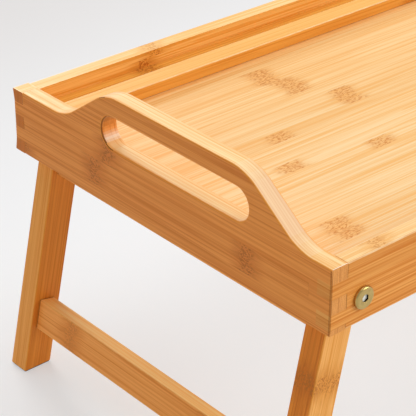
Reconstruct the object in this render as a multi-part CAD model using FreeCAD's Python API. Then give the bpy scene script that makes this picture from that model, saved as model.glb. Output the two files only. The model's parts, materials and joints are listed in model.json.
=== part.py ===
"""Bamboo bed tray table with finger-jointed sides, hand slots and two folding leg frames.

Millimetres. +X runs along the tray to the right, +Y to the back, +Z up. The origin lies on
the floor, under the middle of the tray. Each piece is one solid in its own STEP file.
"""
import FreeCAD, Part
import math
import os

from FreeCAD import Vector

# ---------------------------------------------------------------- driving dimensions, mm and degrees

# Tray frame
tray_length = 550.0
tray_depth = 330.0
frame_underside = 174.0          # height of the frame's lower edge above the floor
frame_height = 48.0              # rails, and the end boards at the front corners
back_corner_rise = 1.5           # how far the back corners stand above the rails
end_board_thickness = 14.0
rail_thickness = 12.0
corner_round = 1.2               # upright outer corners of the frame
board_edge_round = 1.0           # long edges of the rails and end boards

# Raised handle in each end board, placed from the tray's front face
handle_centre = 150.0
handle_crest_length = 118.0
handle_rise = 36.0               # crest above the rails
handle_slope_angle = 36.0
handle_curve_radius = 36.0
slot_length = 150.0
slot_height = 24.5
slot_centre_height = 57.0        # above the frame's lower edge
slot_edge_round = 1.2

# Finger joints, counted down from the top of each corner
front_finger_height = 11.0
back_finger_height = 9.9

# Panel and what it carries
panel_thickness = 5.0
panel_recess = 12.0              # panel's face below the top of the rails
panel_groove_depth = 4.0
panel_end_play = 0.5             # room for the panel to swell in its groove
divider_width = 17.0
divider_drop = 2.0               # divider's top below the top of the rails
device_slot_width = 26.0         # between the back rail and the divider
divider_edge_round = 0.8

# Stiffening batten under the panel, held by screws
batten_width = 30.0
batten_thickness = 8.0
batten_edge_round = 1.0
batten_screw_count = 3
batten_screw_margin = 40.0       # from each end of the batten to its outer screws
screw_shank_diameter = 3.5
screw_head_diameter = 7.0
screw_head_height = 2.2
screw_grip_in_panel = 3.5
screw_hole_extra_depth = 0.3
screw_recess_diameter = 3.0
screw_recess_depth = 1.0

# Legs
leg_width = 23.5                 # across the tray's length
leg_depth = 18.0                 # across the tray's depth
leg_splay_angle = 12.0
leg_edge_round = 0.8
fold_clearance = 1.25            # between a folded leg and the panel
stop_bevel_depth = 2.2           # stop face cut into the end board's lower inner edge
stop_gap = 0.3                   # between that face and the open leg

# Cross pieces between the two legs of a frame
cross_height = 24.0              # along the leg
cross_thickness = 13.0
cross_inset = 5.0                # behind the legs' outer faces
cross_edge_round = 0.8
lower_cross_height = 33.0        # of the lower one's outer bottom edge, above the floor
upper_cross_gap = 2.5            # below the pivot nuts' heads
tenon_length = 8.0
tenon_shoulder = 3.0
mortise_end_gap = 0.5

# Foot pads
pad_thickness = 1.2
pad_inset = 0.6

# Pivot hardware
bolt_head_diameter = 16.0
bolt_head_height = 2.6
bolt_rim_round = 1.1
bolt_shank_diameter = 6.0
bolt_thread_engagement = 14.0
hex_socket_width = 5.0           # across flats
hex_socket_depth = 2.3
rail_hole_clearance = 0.2        # radial, around the bolt's shank
barrel_diameter = 9.0
barrel_running_clearance = 0.05  # radial, between a barrel nut and the leg that turns on it
barrel_thread_clearance = 0.05   # radial
barrel_web = 2.2                 # solid web between the thread and the hex socket
washer_diameter = 16.0
washer_thickness = 0.8
washer_hole_clearance = 0.1      # radial, around the barrel
side_play = 0.2                  # between a washer and the leg

# ---------------------------------------------------------------- sizes worked out from them

half_length = tray_length / 2
half_depth = tray_depth / 2
board_inner_x = half_length - end_board_thickness
rail_inner_y = half_depth - rail_thickness
rail_top = frame_underside + frame_height
crest_top = rail_top + handle_rise
back_corner_top = rail_top + back_corner_rise
handle_centre_y = handle_centre - half_depth

panel_top = rail_top - panel_recess
panel_underside = panel_top - panel_thickness
divider_back_y = rail_inner_y - device_slot_width
divider_front_y = divider_back_y - divider_width
divider_top = rail_top - divider_drop

splay = math.radians(leg_splay_angle)
pivot_height = panel_underside - fold_clearance - leg_width / 2
stop_face_x = board_inner_x + stop_bevel_depth
leg_outer_x = stop_face_x - stop_gap / math.cos(splay)
pivot_rise = pivot_height - frame_underside
pivot_x = leg_outer_x - pivot_rise * math.tan(splay) - leg_width / 2 / math.cos(splay)

leg_outer_y = rail_inner_y - washer_thickness - side_play
leg_inner_y = leg_outer_y - leg_depth
nut_seat_y = leg_inner_y - side_play - washer_thickness
barrel_length = rail_inner_y - nut_seat_y
barrel_bore_diameter = bolt_shank_diameter + 2 * barrel_thread_clearance
barrel_bore_depth = barrel_length + bolt_head_height - hex_socket_depth - barrel_web

lower_cross_offset = (pivot_height - lower_cross_height) / math.cos(splay)
upper_cross_start = bolt_head_diameter / 2 + upper_cross_gap

UP = Vector(0, 0, 1)
ALONG = Vector(1, 0, 0)
BACKWARD = Vector(0, 1, 0)


# ---------------------------------------------------------------- small helpers

def box(low_x, high_x, low_y, high_y, low_z, high_z):
    """A block between two opposite corners."""
    corner = Vector(low_x, low_y, low_z)
    return Part.makeBox(high_x - low_x, high_y - low_y, high_z - low_z, corner)


def is_parallel(edge, direction):
    """Whether a straight edge runs along a direction."""
    if not isinstance(edge.Curve, Part.Line):
        return False
    return abs(abs(edge.Curve.Direction.dot(direction)) - 1.0) < 1e-6


def eased(solid, radius, direction):
    """The solid with every straight edge along a direction rounded."""
    edges = [edge for edge in solid.Edges if is_parallel(edge, direction)]
    return solid.makeFillet(radius, edges)


def mirrored_x(solid):
    """The solid's twin at the other end of the tray."""
    return solid.mirror(Vector(0, 0, 0), ALONG)


def mirrored_y(solid):
    """The solid's twin at the other long side of the tray."""
    return solid.mirror(Vector(0, 0, 0), BACKWARD)


def save(name, shape):
    """Write one piece to its STEP file."""
    shape.exportStep(os.path.join("parts", name + ".step"))
    print(name, round(shape.Volume), "valid" if shape.isValid() else "INVALID")


# ---------------------------------------------------------------- tray frame

def corner_envelope():
    """The frame's outer outline with its four upright corners rounded."""
    block = box(-half_length, half_length, -half_depth, half_depth, frame_underside, crest_top)
    return eased(block, corner_round, UP)


def handle_curve(crest_y, side, low_z):
    """Edges from the crest's end down to a low flat: an arc, a straight slope and an arc.

    side is +1 towards the back and -1 towards the front.
    """
    angle = math.radians(handle_slope_angle)
    radius = handle_curve_radius
    rise = crest_top - low_z
    arc_rise = radius * (1 - math.cos(angle))
    arc_run = radius * math.sin(angle)
    slope_run = (rise - 2 * arc_rise) / math.tan(angle)
    low_y = crest_y + side * (2 * arc_run + slope_run)
    half_rise = radius * (1 - math.cos(angle / 2))
    half_run = radius * math.sin(angle / 2)
    crest_end = Vector(0, crest_y, crest_top)
    upper_middle = Vector(0, crest_y + side * half_run, crest_top - half_rise)
    upper_end = Vector(0, crest_y + side * arc_run, crest_top - arc_rise)
    lower_start = Vector(0, low_y - side * arc_run, low_z + arc_rise)
    lower_middle = Vector(0, low_y - side * half_run, low_z + half_rise)
    low_end = Vector(0, low_y, low_z)
    upper_arc = Part.Arc(crest_end, upper_middle, upper_end).toShape()
    slope = Part.makeLine(upper_end, lower_start)
    lower_arc = Part.Arc(lower_start, lower_middle, low_end).toShape()
    return [upper_arc, slope, lower_arc], low_end


def end_board_outline():
    """Face of the end board seen from the end of the tray, without its slot."""
    half_crest = handle_crest_length / 2
    back_crest_y = handle_centre_y + half_crest
    front_crest_y = handle_centre_y - half_crest
    back_curve, back_low = handle_curve(back_crest_y, 1, back_corner_top)
    front_curve, front_low = handle_curve(front_crest_y, -1, rail_top)
    crest = Part.makeLine(Vector(0, front_crest_y, crest_top), Vector(0, back_crest_y, crest_top))
    back_top = Vector(0, half_depth, back_corner_top)
    back_bottom = Vector(0, half_depth, frame_underside)
    front_bottom = Vector(0, -half_depth, frame_underside)
    front_top = Vector(0, -half_depth, rail_top)
    border = [
        Part.makeLine(back_low, back_top),
        Part.makeLine(back_top, back_bottom),
        Part.makeLine(back_bottom, front_bottom),
        Part.makeLine(front_bottom, front_top),
        Part.makeLine(front_top, front_low),
    ]
    edges = Part.__sortEdges__([crest] + back_curve + border + front_curve)
    return Part.Face(Part.Wire(edges))


def slot_cutter():
    """Long hole with round ends, right through an end board at the left."""
    radius = slot_height / 2
    centre_z = frame_underside + slot_centre_height
    half_straight = slot_length / 2 - radius
    low_x = -half_length
    high_x = -board_inner_x
    middle = box(low_x, high_x, handle_centre_y - half_straight, handle_centre_y + half_straight,
                 centre_z - radius, centre_z + radius)
    shape = middle
    for side in (-1, 1):
        end_centre = Vector(low_x, handle_centre_y + side * half_straight, centre_z)
        shape = shape.fuse(Part.makeCylinder(radius, high_x - low_x, end_centre, ALONG))
    return shape.removeSplitter()


def is_on_face(edge, x):
    """Whether a whole edge lies in the plane of a board's face."""
    bounds = edge.BoundBox
    return abs(bounds.XMin - x) < 1e-3 and abs(bounds.XMax - x) < 1e-3


def is_slot_edge(edge):
    """Whether an edge lies on the rim of the hand slot."""
    bounds = edge.BoundBox
    margin = slot_height / 2 + board_edge_round
    centre_z = frame_underside + slot_centre_height
    inside_z = abs(bounds.ZMin - centre_z) < margin and abs(bounds.ZMax - centre_z) < margin
    inside_y = bounds.YMin > handle_centre_y - slot_length and bounds.YMax < handle_centre_y + slot_length
    return inside_z and inside_y and bounds.YLength < slot_length


def is_top_edge(edge):
    """Whether an edge belongs to the board's upper outline."""
    bounds = edge.BoundBox
    return bounds.ZMin > rail_top - 1e-3 and bounds.YLength > board_edge_round


def finger_levels(corner_top, finger_height, first):
    """Heights of every second finger of a corner, from its top down to the lower edge."""
    levels = []
    count = math.ceil((corner_top - frame_underside) / finger_height - 1e-6)
    for index in range(first, count, 2):
        high = corner_top - index * finger_height
        low = max(high - finger_height, frame_underside)
        levels.append((low, high))
    return levels


def fingers(side, corner_top, finger_height, first):
    """Blocks that fill every second finger of the left corner at the front or back."""
    outer_y = side * half_depth
    inner_y = side * rail_inner_y
    low_y, high_y = min(outer_y, inner_y), max(outer_y, inner_y)
    levels = finger_levels(corner_top, finger_height, first)
    blocks = [box(-half_length, -board_inner_x, low_y, high_y, low, high) for low, high in levels]
    return Part.makeCompound(blocks)


def front_fingers(first):
    """Front corner: the end board holds fingers 0, 2, 4 and the rail 1, 3."""
    return fingers(-1, rail_top, front_finger_height, first)


def back_fingers(first):
    """Back corner: the rail holds fingers 0, 2, 4 and the end board 1, 3."""
    return fingers(1, back_corner_top, back_finger_height, first)


def panel_blank(end_play):
    """The panel's block, or with no play the groove that holds it."""
    reach = panel_groove_depth - end_play
    return box(-board_inner_x - reach, board_inner_x + reach,
               -rail_inner_y - reach, rail_inner_y + reach, panel_underside, panel_top)


def stop_bevel_cutter():
    """Wedge that cuts the stop face for the open legs into the left board's lower edge."""
    run = pivot_rise
    outer = Vector(-stop_face_x, -rail_inner_y, frame_underside)
    top = Vector(-stop_face_x + run * math.tan(splay), -rail_inner_y, frame_underside + run)
    inner = Vector(top.x, -rail_inner_y, frame_underside)
    wedge = Part.Face(Part.makePolygon([outer, top, inner, outer]))
    return wedge.extrude(Vector(0, 2 * rail_inner_y, 0))


def left_end_board():
    """End board with its raised handle, hand slot, fingers, panel groove and stop face."""
    blank = end_board_outline().extrude(Vector(end_board_thickness, 0, 0))
    blank.translate(Vector(-half_length, 0, 0))
    blank = blank.cut(slot_cutter())
    rims = [edge for edge in blank.Edges if is_on_face(edge, -half_length) or is_on_face(edge, -board_inner_x)]
    top_edges = [edge for edge in rims if is_top_edge(edge) and not is_slot_edge(edge)]
    slot_edges = [edge for edge in rims if is_slot_edge(edge)]
    board = blank.makeFillet(board_edge_round, top_edges)
    slot_rims = [edge for edge in board.Edges
                 if any(edge.CenterOfMass.distanceToPoint(rim.CenterOfMass) < 1e-3 for rim in slot_edges)]
    board = board.makeFillet(slot_edge_round, slot_rims)
    board = board.common(corner_envelope())
    board = board.cut(front_fingers(1)).cut(back_fingers(0))
    board = board.cut(panel_blank(0)).cut(stop_bevel_cutter())
    return board.Solids[0]


# ---------------------------------------------------------------- rails

def bolt_hole(x):
    """Hole through the front rail for a pivot bolt."""
    radius = bolt_shank_diameter / 2 + rail_hole_clearance
    start = Vector(x, -half_depth, pivot_height)
    return Part.makeCylinder(radius, rail_thickness, start, BACKWARD)


def both_ends(left_shape):
    """A cutter at the left end of the tray and its twin at the right end."""
    return Part.makeCompound([left_shape, mirrored_x(left_shape)])


def front_rail():
    """Front rail with fingers, panel groove and the holes of its two pivot bolts."""
    rail = box(-half_length, half_length, -half_depth, -rail_inner_y, frame_underside, rail_top)
    rail = eased(rail, board_edge_round, ALONG).common(corner_envelope())
    rail = rail.cut(both_ends(front_fingers(0))).cut(panel_blank(0))
    rail = rail.cut(both_ends(bolt_hole(-pivot_x)))
    return rail.Solids[0]


def back_rail():
    """Back rail; its ends are as high as the back corners and its top is lower between them."""
    rail = box(-half_length, half_length, rail_inner_y, half_depth, frame_underside, rail_top)
    rail = eased(rail, board_edge_round, ALONG)
    for side in (-1, 1):
        low_x = min(side * half_length, side * board_inner_x)
        end = box(low_x, low_x + end_board_thickness, rail_inner_y, half_depth,
                  frame_underside, back_corner_top)
        rail = rail.fuse(eased(end, board_edge_round, ALONG))
    rail = rail.removeSplitter().common(corner_envelope())
    rail = rail.cut(both_ends(back_fingers(1))).cut(panel_blank(0))
    rail = rail.cut(both_ends(mirrored_y(bolt_hole(-pivot_x))))
    return rail.Solids[0]


# ---------------------------------------------------------------- panel, divider and batten

def screw_positions():
    """Y of each batten screw, evenly spaced along the batten."""
    reach = rail_inner_y - batten_screw_margin
    step = 2 * reach / (batten_screw_count - 1)
    return [index * step - reach for index in range(batten_screw_count)]


def screw_body(y, extra_depth):
    """Countersunk screw pointing up from the batten's underside, or its hole."""
    bottom = panel_underside - batten_thickness
    shank_top = panel_underside + screw_grip_in_panel + extra_depth
    head = Part.makeCone(screw_head_diameter / 2, screw_shank_diameter / 2, screw_head_height,
                         Vector(0, y, bottom), UP)
    shank = Part.makeCylinder(screw_shank_diameter / 2, shank_top - bottom, Vector(0, y, bottom), UP)
    return head.fuse(shank).removeSplitter()


def screw_holes():
    """All holes that the batten screws need."""
    return Part.makeCompound([screw_body(y, screw_hole_extra_depth) for y in screw_positions()])


def batten_screws():
    """The screws, each with a round drive recess in its head."""
    screws = []
    for y in screw_positions():
        start = Vector(0, y, panel_underside - batten_thickness)
        recess = Part.makeCylinder(screw_recess_diameter / 2, screw_recess_depth, start, UP)
        screws.append(screw_body(y, 0).cut(recess))
    return Part.makeCompound(screws)


def tray_panel():
    """Glued bamboo panel, let into a groove all round."""
    return panel_blank(panel_end_play).cut(screw_holes())


def back_divider():
    """Strip on the panel that makes a slot for a screen or pens along the back rail."""
    strip = box(-board_inner_x, board_inner_x, divider_front_y, divider_back_y, panel_top, divider_top)
    upper = [edge for edge in strip.Edges if is_parallel(edge, ALONG) and edge.BoundBox.ZMin > panel_top]
    return strip.makeFillet(divider_edge_round, upper)


def panel_batten():
    """Batten across the middle of the panel's underside."""
    low_z = panel_underside - batten_thickness
    batten = box(-batten_width / 2, batten_width / 2, -rail_inner_y, rail_inner_y, low_z, panel_underside)
    lower = [edge for edge in batten.Edges if is_parallel(edge, BACKWARD) and edge.BoundBox.ZMax < panel_underside]
    return batten.makeFillet(batten_edge_round, lower).cut(screw_holes())


# ---------------------------------------------------------------- leg frame, made upright and then splayed

def splayed(shape):
    """Turn a piece drawn upright about the left pivot into the open leg's slant."""
    turned = shape.copy()
    turned.rotate(Vector(-pivot_x, 0, pivot_height), BACKWARD, leg_splay_angle)
    return turned


def cross_block(start, low_y, high_y, shoulder):
    """Cross piece hung below the pivot by start, upright, with a shoulder taken off all round."""
    outer_x = -pivot_x - leg_width / 2 + cross_inset
    high_z = pivot_height - start
    return box(outer_x + shoulder, outer_x + cross_thickness - shoulder, low_y, high_y,
               high_z - cross_height + shoulder, high_z - shoulder)


def cross_piece(start):
    """Cross piece with a tenon at each end."""
    block = eased(cross_block(start, -leg_inner_y, leg_inner_y, 0), cross_edge_round, BACKWARD)
    reach = leg_inner_y + tenon_length
    tenon = cross_block(start, -reach, reach, tenon_shoulder)
    return splayed(block.fuse(tenon))


def mortise(start):
    """Pocket in the front leg for a cross piece's tenon."""
    reach = leg_inner_y + tenon_length + mortise_end_gap
    return cross_block(start, -reach, -leg_inner_y, tenon_shoulder)


def upper_start():
    """Distance of the upper cross piece below the pivot."""
    return upper_cross_start


def lower_start():
    """Distance of the lower cross piece below the pivot."""
    outer_rise = (leg_width / 2 - cross_inset) * math.tan(splay)
    return lower_cross_offset - outer_rise - cross_height


def front_left_leg():
    """Leg with a round top, long edges eased, a bore on the pivot and a level foot."""
    low_x = -pivot_x - leg_width / 2
    high_x = -pivot_x + leg_width / 2
    bar = box(low_x, high_x, -leg_outer_y, -leg_inner_y, -leg_width, pivot_height)
    bar = eased(bar, leg_edge_round, UP)
    start = Vector(-pivot_x, -leg_outer_y, pivot_height)
    top = Part.makeCylinder(leg_width / 2, leg_depth, start, BACKWARD)
    leg = bar.fuse(top)
    bore_radius = barrel_diameter / 2 + barrel_running_clearance
    leg = leg.cut(Part.makeCylinder(bore_radius, leg_depth, start, BACKWARD))
    leg = leg.cut(mortise(upper_start())).cut(mortise(lower_start()))
    leg = splayed(leg)
    return leg.cut(below_foot(pad_thickness)).Solids[0]


def below_foot(height):
    """Everything under a given height, wide enough to cut a foot level."""
    return box(-tray_length, tray_length, -tray_depth, tray_depth, -tray_depth, height)


def front_left_pad():
    """Thin non-slip pad under the front left foot, a little smaller than the foot."""
    foot_x = -pivot_x - (pivot_height - pad_thickness) * math.tan(splay)
    half_width = leg_width / 2 / math.cos(splay) - pad_inset
    pad = box(foot_x - half_width, foot_x + half_width,
              -leg_outer_y + pad_inset, -leg_inner_y - pad_inset, 0, pad_thickness)
    return eased(pad, leg_edge_round, UP)


# ---------------------------------------------------------------- pivot hardware, front left

def hexagon(y, depth):
    """Hexagonal hole for a key, cut towards the back from y."""
    corner_radius = hex_socket_width / math.sqrt(3)
    corners = []
    for index in range(6):
        angle = math.radians(60 * index)
        x = -pivot_x + corner_radius * math.cos(angle)
        z = pivot_height + corner_radius * math.sin(angle)
        corners.append(Vector(x, y, z))
    face = Part.Face(Part.makePolygon(corners + corners[:1]))
    return face.extrude(Vector(0, depth, 0))


def pivot_cylinder(diameter, low_y, high_y):
    """Round bar on the left pivot's axis."""
    start = Vector(-pivot_x, low_y, pivot_height)
    return Part.makeCylinder(diameter / 2, high_y - low_y, start, BACKWARD)


def rounded_head(low_y, high_y, outer_y):
    """Flat bolt head whose outer rim is rounded."""
    head = pivot_cylinder(bolt_head_diameter, low_y, high_y)
    rim = [edge for edge in head.Edges if abs(edge.CenterOfMass.y - outer_y) < 1e-6
           and isinstance(edge.Curve, Part.Circle)]
    return head.makeFillet(bolt_rim_round, rim)


def front_left_bolt():
    """Pivot bolt: flat head with a hex socket on the rail, shank into the barrel nut."""
    head_y = -half_depth - bolt_head_height
    tip_y = -rail_inner_y + bolt_thread_engagement
    head = rounded_head(head_y, -half_depth, head_y)
    shank = pivot_cylinder(bolt_shank_diameter, -half_depth, tip_y)
    return head.fuse(shank).cut(hexagon(head_y, hex_socket_depth))


def front_left_nut():
    """Barrel nut: the leg turns on its barrel, which is drawn tight against the rail."""
    head_y = -nut_seat_y + bolt_head_height
    head = rounded_head(-nut_seat_y, head_y, head_y)
    barrel = pivot_cylinder(barrel_diameter, -rail_inner_y, -nut_seat_y)
    bore = pivot_cylinder(barrel_bore_diameter, -rail_inner_y, -rail_inner_y + barrel_bore_depth)
    socket = hexagon(head_y - hex_socket_depth, hex_socket_depth)
    return head.fuse(barrel).cut(bore).cut(socket)


def washer(low_y):
    """Thin washer around the barrel."""
    hole = barrel_diameter + 2 * washer_hole_clearance
    ring = pivot_cylinder(washer_diameter, low_y, low_y + washer_thickness)
    return ring.cut(pivot_cylinder(hole, low_y, low_y + washer_thickness))


def at_all_corners(shape):
    """A front left piece with its twins at the other three corners."""
    front = [shape, mirrored_x(shape)]
    back = [mirrored_y(piece) for piece in front]
    return Part.makeCompound(front + back)


# ---------------------------------------------------------------- the whole tray

def corner_nodes(name, shape):
    """The four nodes of a piece that each corner of the tray has."""
    return {
        "front_left_" + name: shape,
        "front_right_" + name: mirrored_x(shape),
        "back_left_" + name: mirrored_y(shape),
        "back_right_" + name: mirrored_y(mirrored_x(shape)),
    }


def end_nodes(name, shape):
    """The two nodes of a piece that each end of the tray has."""
    return {"left_" + name: shape, "right_" + name: mirrored_x(shape)}


def main():
    """Build every piece and write it."""
    os.makedirs("parts", exist_ok=True)
    nodes = {
        "front_rail": front_rail(),
        "back_rail": back_rail(),
        "tray_panel": tray_panel(),
        "back_divider": back_divider(),
        "panel_batten": panel_batten(),
        "batten_screws": batten_screws(),
        "rail_washers": at_all_corners(washer(-rail_inner_y)),
        "nut_washers": at_all_corners(washer(-nut_seat_y - washer_thickness)),
    }
    nodes.update(end_nodes("end_board", left_end_board()))
    nodes.update(end_nodes("lower_stretcher", cross_piece(lower_start())))
    nodes.update(end_nodes("upper_stretcher", cross_piece(upper_start())))
    nodes.update(corner_nodes("leg", front_left_leg()))
    nodes.update(corner_nodes("foot_pad", front_left_pad()))
    nodes.update(corner_nodes("pivot_bolt", front_left_bolt()))
    nodes.update(corner_nodes("barrel_nut", front_left_nut()))
    for name, shape in nodes.items():
        save(name, shape)
    print("pivot", round(pivot_x, 3), round(pivot_height, 3), "crest", crest_top)


main()
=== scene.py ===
"""Folding bamboo bed tray: glued boards, finger joints, two splayed leg frames and brass pivot bolts.

Every length is in metres. The tray stands on the floor, its length along X, its front towards -Y and Z up.
"""

import json
import logging
import math
import random
from dataclasses import dataclass, field, replace
from enum import Enum
from functools import cache
from typing import Callable, ClassVar, Iterable, Sequence

import bmesh
import bpy
from mathutils import Matrix, Vector


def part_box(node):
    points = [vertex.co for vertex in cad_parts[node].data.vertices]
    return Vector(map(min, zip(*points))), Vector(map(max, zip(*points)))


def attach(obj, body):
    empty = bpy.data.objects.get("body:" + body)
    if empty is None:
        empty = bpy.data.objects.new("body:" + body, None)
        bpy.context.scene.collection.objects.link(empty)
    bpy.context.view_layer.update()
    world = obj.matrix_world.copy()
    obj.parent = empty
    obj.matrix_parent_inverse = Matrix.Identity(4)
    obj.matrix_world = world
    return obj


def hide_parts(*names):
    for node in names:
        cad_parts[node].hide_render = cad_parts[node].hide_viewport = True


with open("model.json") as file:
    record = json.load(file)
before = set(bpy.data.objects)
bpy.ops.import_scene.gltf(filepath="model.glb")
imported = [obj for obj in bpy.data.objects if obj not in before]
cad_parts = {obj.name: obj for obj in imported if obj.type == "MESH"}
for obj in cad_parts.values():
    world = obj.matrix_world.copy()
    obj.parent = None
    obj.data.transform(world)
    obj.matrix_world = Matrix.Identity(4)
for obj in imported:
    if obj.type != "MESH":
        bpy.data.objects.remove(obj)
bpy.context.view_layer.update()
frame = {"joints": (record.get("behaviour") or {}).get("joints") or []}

LOG = logging.getLogger("bed_tray")

Colour = tuple[float, float, float]
Place = tuple[float, float, float]
Socket = bpy.types.NodeSocket
VectorTest = Callable[[Vector, Vector], bool]

ALONG_TRAY = Vector((1.0, 0.0, 0.0))
BACKWARD = Vector((0.0, 1.0, 0.0))
UP = Vector((0.0, 0.0, 1.0))

SPLAY = math.radians(12.0)
HAIRLINE = 0.00030
CLEAR = 0.001
TOUCHING = 0.00002
ROUNDING = 0.000001
SHARP_ANGLE = math.radians(38.0)
# How much of a face's unit normal points one way: hardly any, half, nearly all.
BARELY = 0.1
HALFWAY = 0.5
SQUARELY = 0.9


# ---------------------------------------------------------------- named choices


class Named(Enum):
    """A choice that is part of node names."""

    @property
    def word(self) -> str:
        """The choice as node names spell it."""
        return self.name.lower()


class Side(Named):
    """One end of the tray, and the sign of its place along X."""

    LEFT = -1
    RIGHT = 1


class Edge(Named):
    """The front or the back long side of the tray, and the sign of its place along Y."""

    FRONT = -1
    BACK = 1


class Body(Enum):
    """What a piece moves with."""

    TRAY = "tray"
    LEFT_LEGS = "left_leg_frame"
    RIGHT_LEGS = "right_leg_frame"

    @classmethod
    def legs(cls, side: Side) -> "Body":
        """The leg frame at one end."""
        return cls.LEFT_LEGS if side is Side.LEFT else cls.RIGHT_LEGS


class Slot(Enum):
    """The finish a piece is ordered in."""

    FRAME = "frame_bamboo"
    PANEL = "panel_bamboo"
    LEG = "leg_bamboo"
    HARDWARE = "pivot_hardware"
    WASHER = "washers"
    SCREW = "screws"
    PAD = "non_slip_pad"


class Mark:
    """What the mark on a face tells the bamboo finish.

    Below 0 it carries a painted sheen, palest at -1. Within 0.2 of 1 it is a rounded edge with wear and a
    painted edge highlight, most so at 1. Above 1.2 it carries a painted shadow, darkest at 2. At 0 it is a
    plain face.
    """

    # Painted sheen below 0, wear with a painted edge highlight near 1, painted shadow above 1.2.
    PAINTED_SHEEN = -1.0
    WORN_GLINT = 1.0
    SHADOW = 2.0


# ---------------------------------------------------------------- small helpers


def same(*values: float) -> bool:
    """Whether lengths are the same but for rounding."""
    return max(values) - min(values) < TOUCHING


def pivot_at(side: Side, y: float = 0.0) -> Vector:
    """A point on the axis that the leg frame at one end folds about."""
    x, _, z = next(joint for joint in frame["joints"] if joint["name"] == "left_leg_fold")["pos_m"]
    return Vector((-side.value * x, y, z))


def linked(name: str, data: bpy.types.ID) -> bpy.types.Object:
    """Put data into the scene as an object.

    Args:
        name: of the object.
        data: a mesh, lamp or camera.

    Returns:
        The object.
    """
    thing = bpy.data.objects.new(name, data)
    bpy.context.scene.collection.objects.link(thing)
    return thing


# ---------------------------------------------------------------- finishes


class Recipe:
    """Lays out the nodes of one material."""

    def __init__(self, name: str) -> None:
        """Start an empty material.

        Args:
            name: what the material is called.
        """
        self.material = bpy.data.materials.new(name)
        self.material.use_nodes = True
        self.tree = self.material.node_tree
        self.tree.nodes.clear()
        self.output = self.node("OutputMaterial")
        self.shader = self.node("BsdfPrincipled")
        self.feed(self.output.inputs["Surface"], self.shader.outputs["BSDF"])

    def feed(self, socket: Socket, value: object) -> None:
        """Link a socket to another one, or set its value.

        Args:
            socket: the input to fill.
            value: an output socket, a number, a colour or a vector.
        """
        if isinstance(value, bpy.types.NodeSocket):
            self.tree.links.new(value, socket)
        elif socket.type == "RGBA" and len(value) == 3:
            socket.default_value = (*value, 1.0)
        else:
            socket.default_value = value

    def node(self, kind: str, values: Sequence[object] = (), **choices: object) -> bpy.types.Node:
        """Add a node.

        Args:
            kind: what the node's type says after ShaderNode.
            values: what its inputs are fed, in order.
            choices: its own settings.

        Returns:
            The node.
        """
        node = self.tree.nodes.new(f"ShaderNode{kind}")
        for name, choice in choices.items():
            setattr(node, name, choice)
        for socket, value in zip(node.inputs, values):
            self.feed(socket, value)
        return node

    def set(self, **inputs: object) -> None:
        """Fill inputs of the main shader; underscores stand for spaces."""
        for name, value in inputs.items():
            self.feed(self.shader.inputs[name.replace("_", " ").title().replace("Ior", "IOR")], value)

    def attribute(self, name: str) -> tuple[Socket, Socket, Socket]:
        """Three numbers that the piece's mesh carries under a name."""
        return self.split(self.node("Attribute", attribute_name=name).outputs["Vector"])

    def object_place(self) -> Socket:
        """Where a point lies on its object."""
        return self.node("TexCoord").outputs["Object"]

    def split(self, vector: Socket) -> tuple[Socket, Socket, Socket]:
        """The three parts of a vector."""
        return tuple(self.node("SeparateXYZ", [vector]).outputs)

    def join(self, x: object, y: object, z: object) -> Socket:
        """A vector from its three parts."""
        return self.node("CombineXYZ", [x, y, z]).outputs[0]

    def math(self, operation: str, *values: object, clamp: bool = False) -> Socket:
        """One sum on numbers, held between 0 and 1 where it is clamped."""
        return self.node("Math", values, operation=operation, use_clamp=clamp).outputs[0]

    def times(self, value: object, factor: object) -> Socket:
        """A number times another."""
        return self.math("MULTIPLY", value, factor)

    def sloped(self, value: object, slope: object, start: object, clamp: bool = False) -> Socket:
        """A number times a slope, on top of a start."""
        return self.math("MULTIPLY_ADD", value, slope, start, clamp=clamp)

    def ramp(self, value: object, start: float, end: float, low: float = 0.0, high: float = 1.0) -> Socket:
        """A soft step from low to high as a value goes from start to end."""
        node = self.node("MapRange", [value, start, end, low, high], interpolation_type="SMOOTHSTEP")
        return node.outputs[0]

    def noise(self, vector: Socket, scale: float = 1.0, detail: float = 2.0) -> Socket:
        """Cloudy noise between about 0.25 and 0.75.

        Args:
            vector: where it is read.
            scale: how many clouds fit in one unit.
            detail: how many finer layers it has.

        Returns:
            The noise.
        """
        node = self.node("TexNoise")
        for name, value in (("Vector", vector), ("Scale", scale), ("Detail", detail), ("Roughness", 0.5)):
            self.feed(node.inputs[name], value)
        return node.outputs["Fac"]

    def blend(self, factor: object, first: object, second: object, mode: str = "MIX") -> Socket:
        """Two colours mixed.

        Args:
            factor: how much of the second.
            first: the colour underneath.
            second: the colour on top.
            mode: how they combine.

        Returns:
            The mixed colour.
        """
        node = self.node("Mix", data_type="RGBA", blend_type=mode)
        for index, value in ((0, factor), (6, first), (7, second)):
            self.feed(node.inputs[index], value)
        return node.outputs[2]

    def relief(self, height: Socket, depth: float, strength: float) -> None:
        """Raise the surface by a height pattern.

        Args:
            height: the pattern, 0 to 1.
            depth: how deep it is, in metres.
            strength: how much of it shows.
        """
        node = self.node("Bump")
        for name, value in (("Strength", strength), ("Distance", depth), ("Height", height)):
            self.feed(node.inputs[name], value)
        self.set(normal=node.outputs["Normal"])


@dataclass(frozen=True)
class Strands:
    """One pattern drawn out along the grain: streaks per metre, how crisp they are and how strong."""

    along: float
    across: float
    start: float
    end: float
    weight: float = 1.0
    detail: float = 1.0
    through: float | None = None


BROAD_BANDS = Strands(along=2.2, across=80.0, start=0.36, end=0.64, weight=0.16)
SOFT_BANDS = replace(BROAD_BANDS, weight=0.06)


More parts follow.
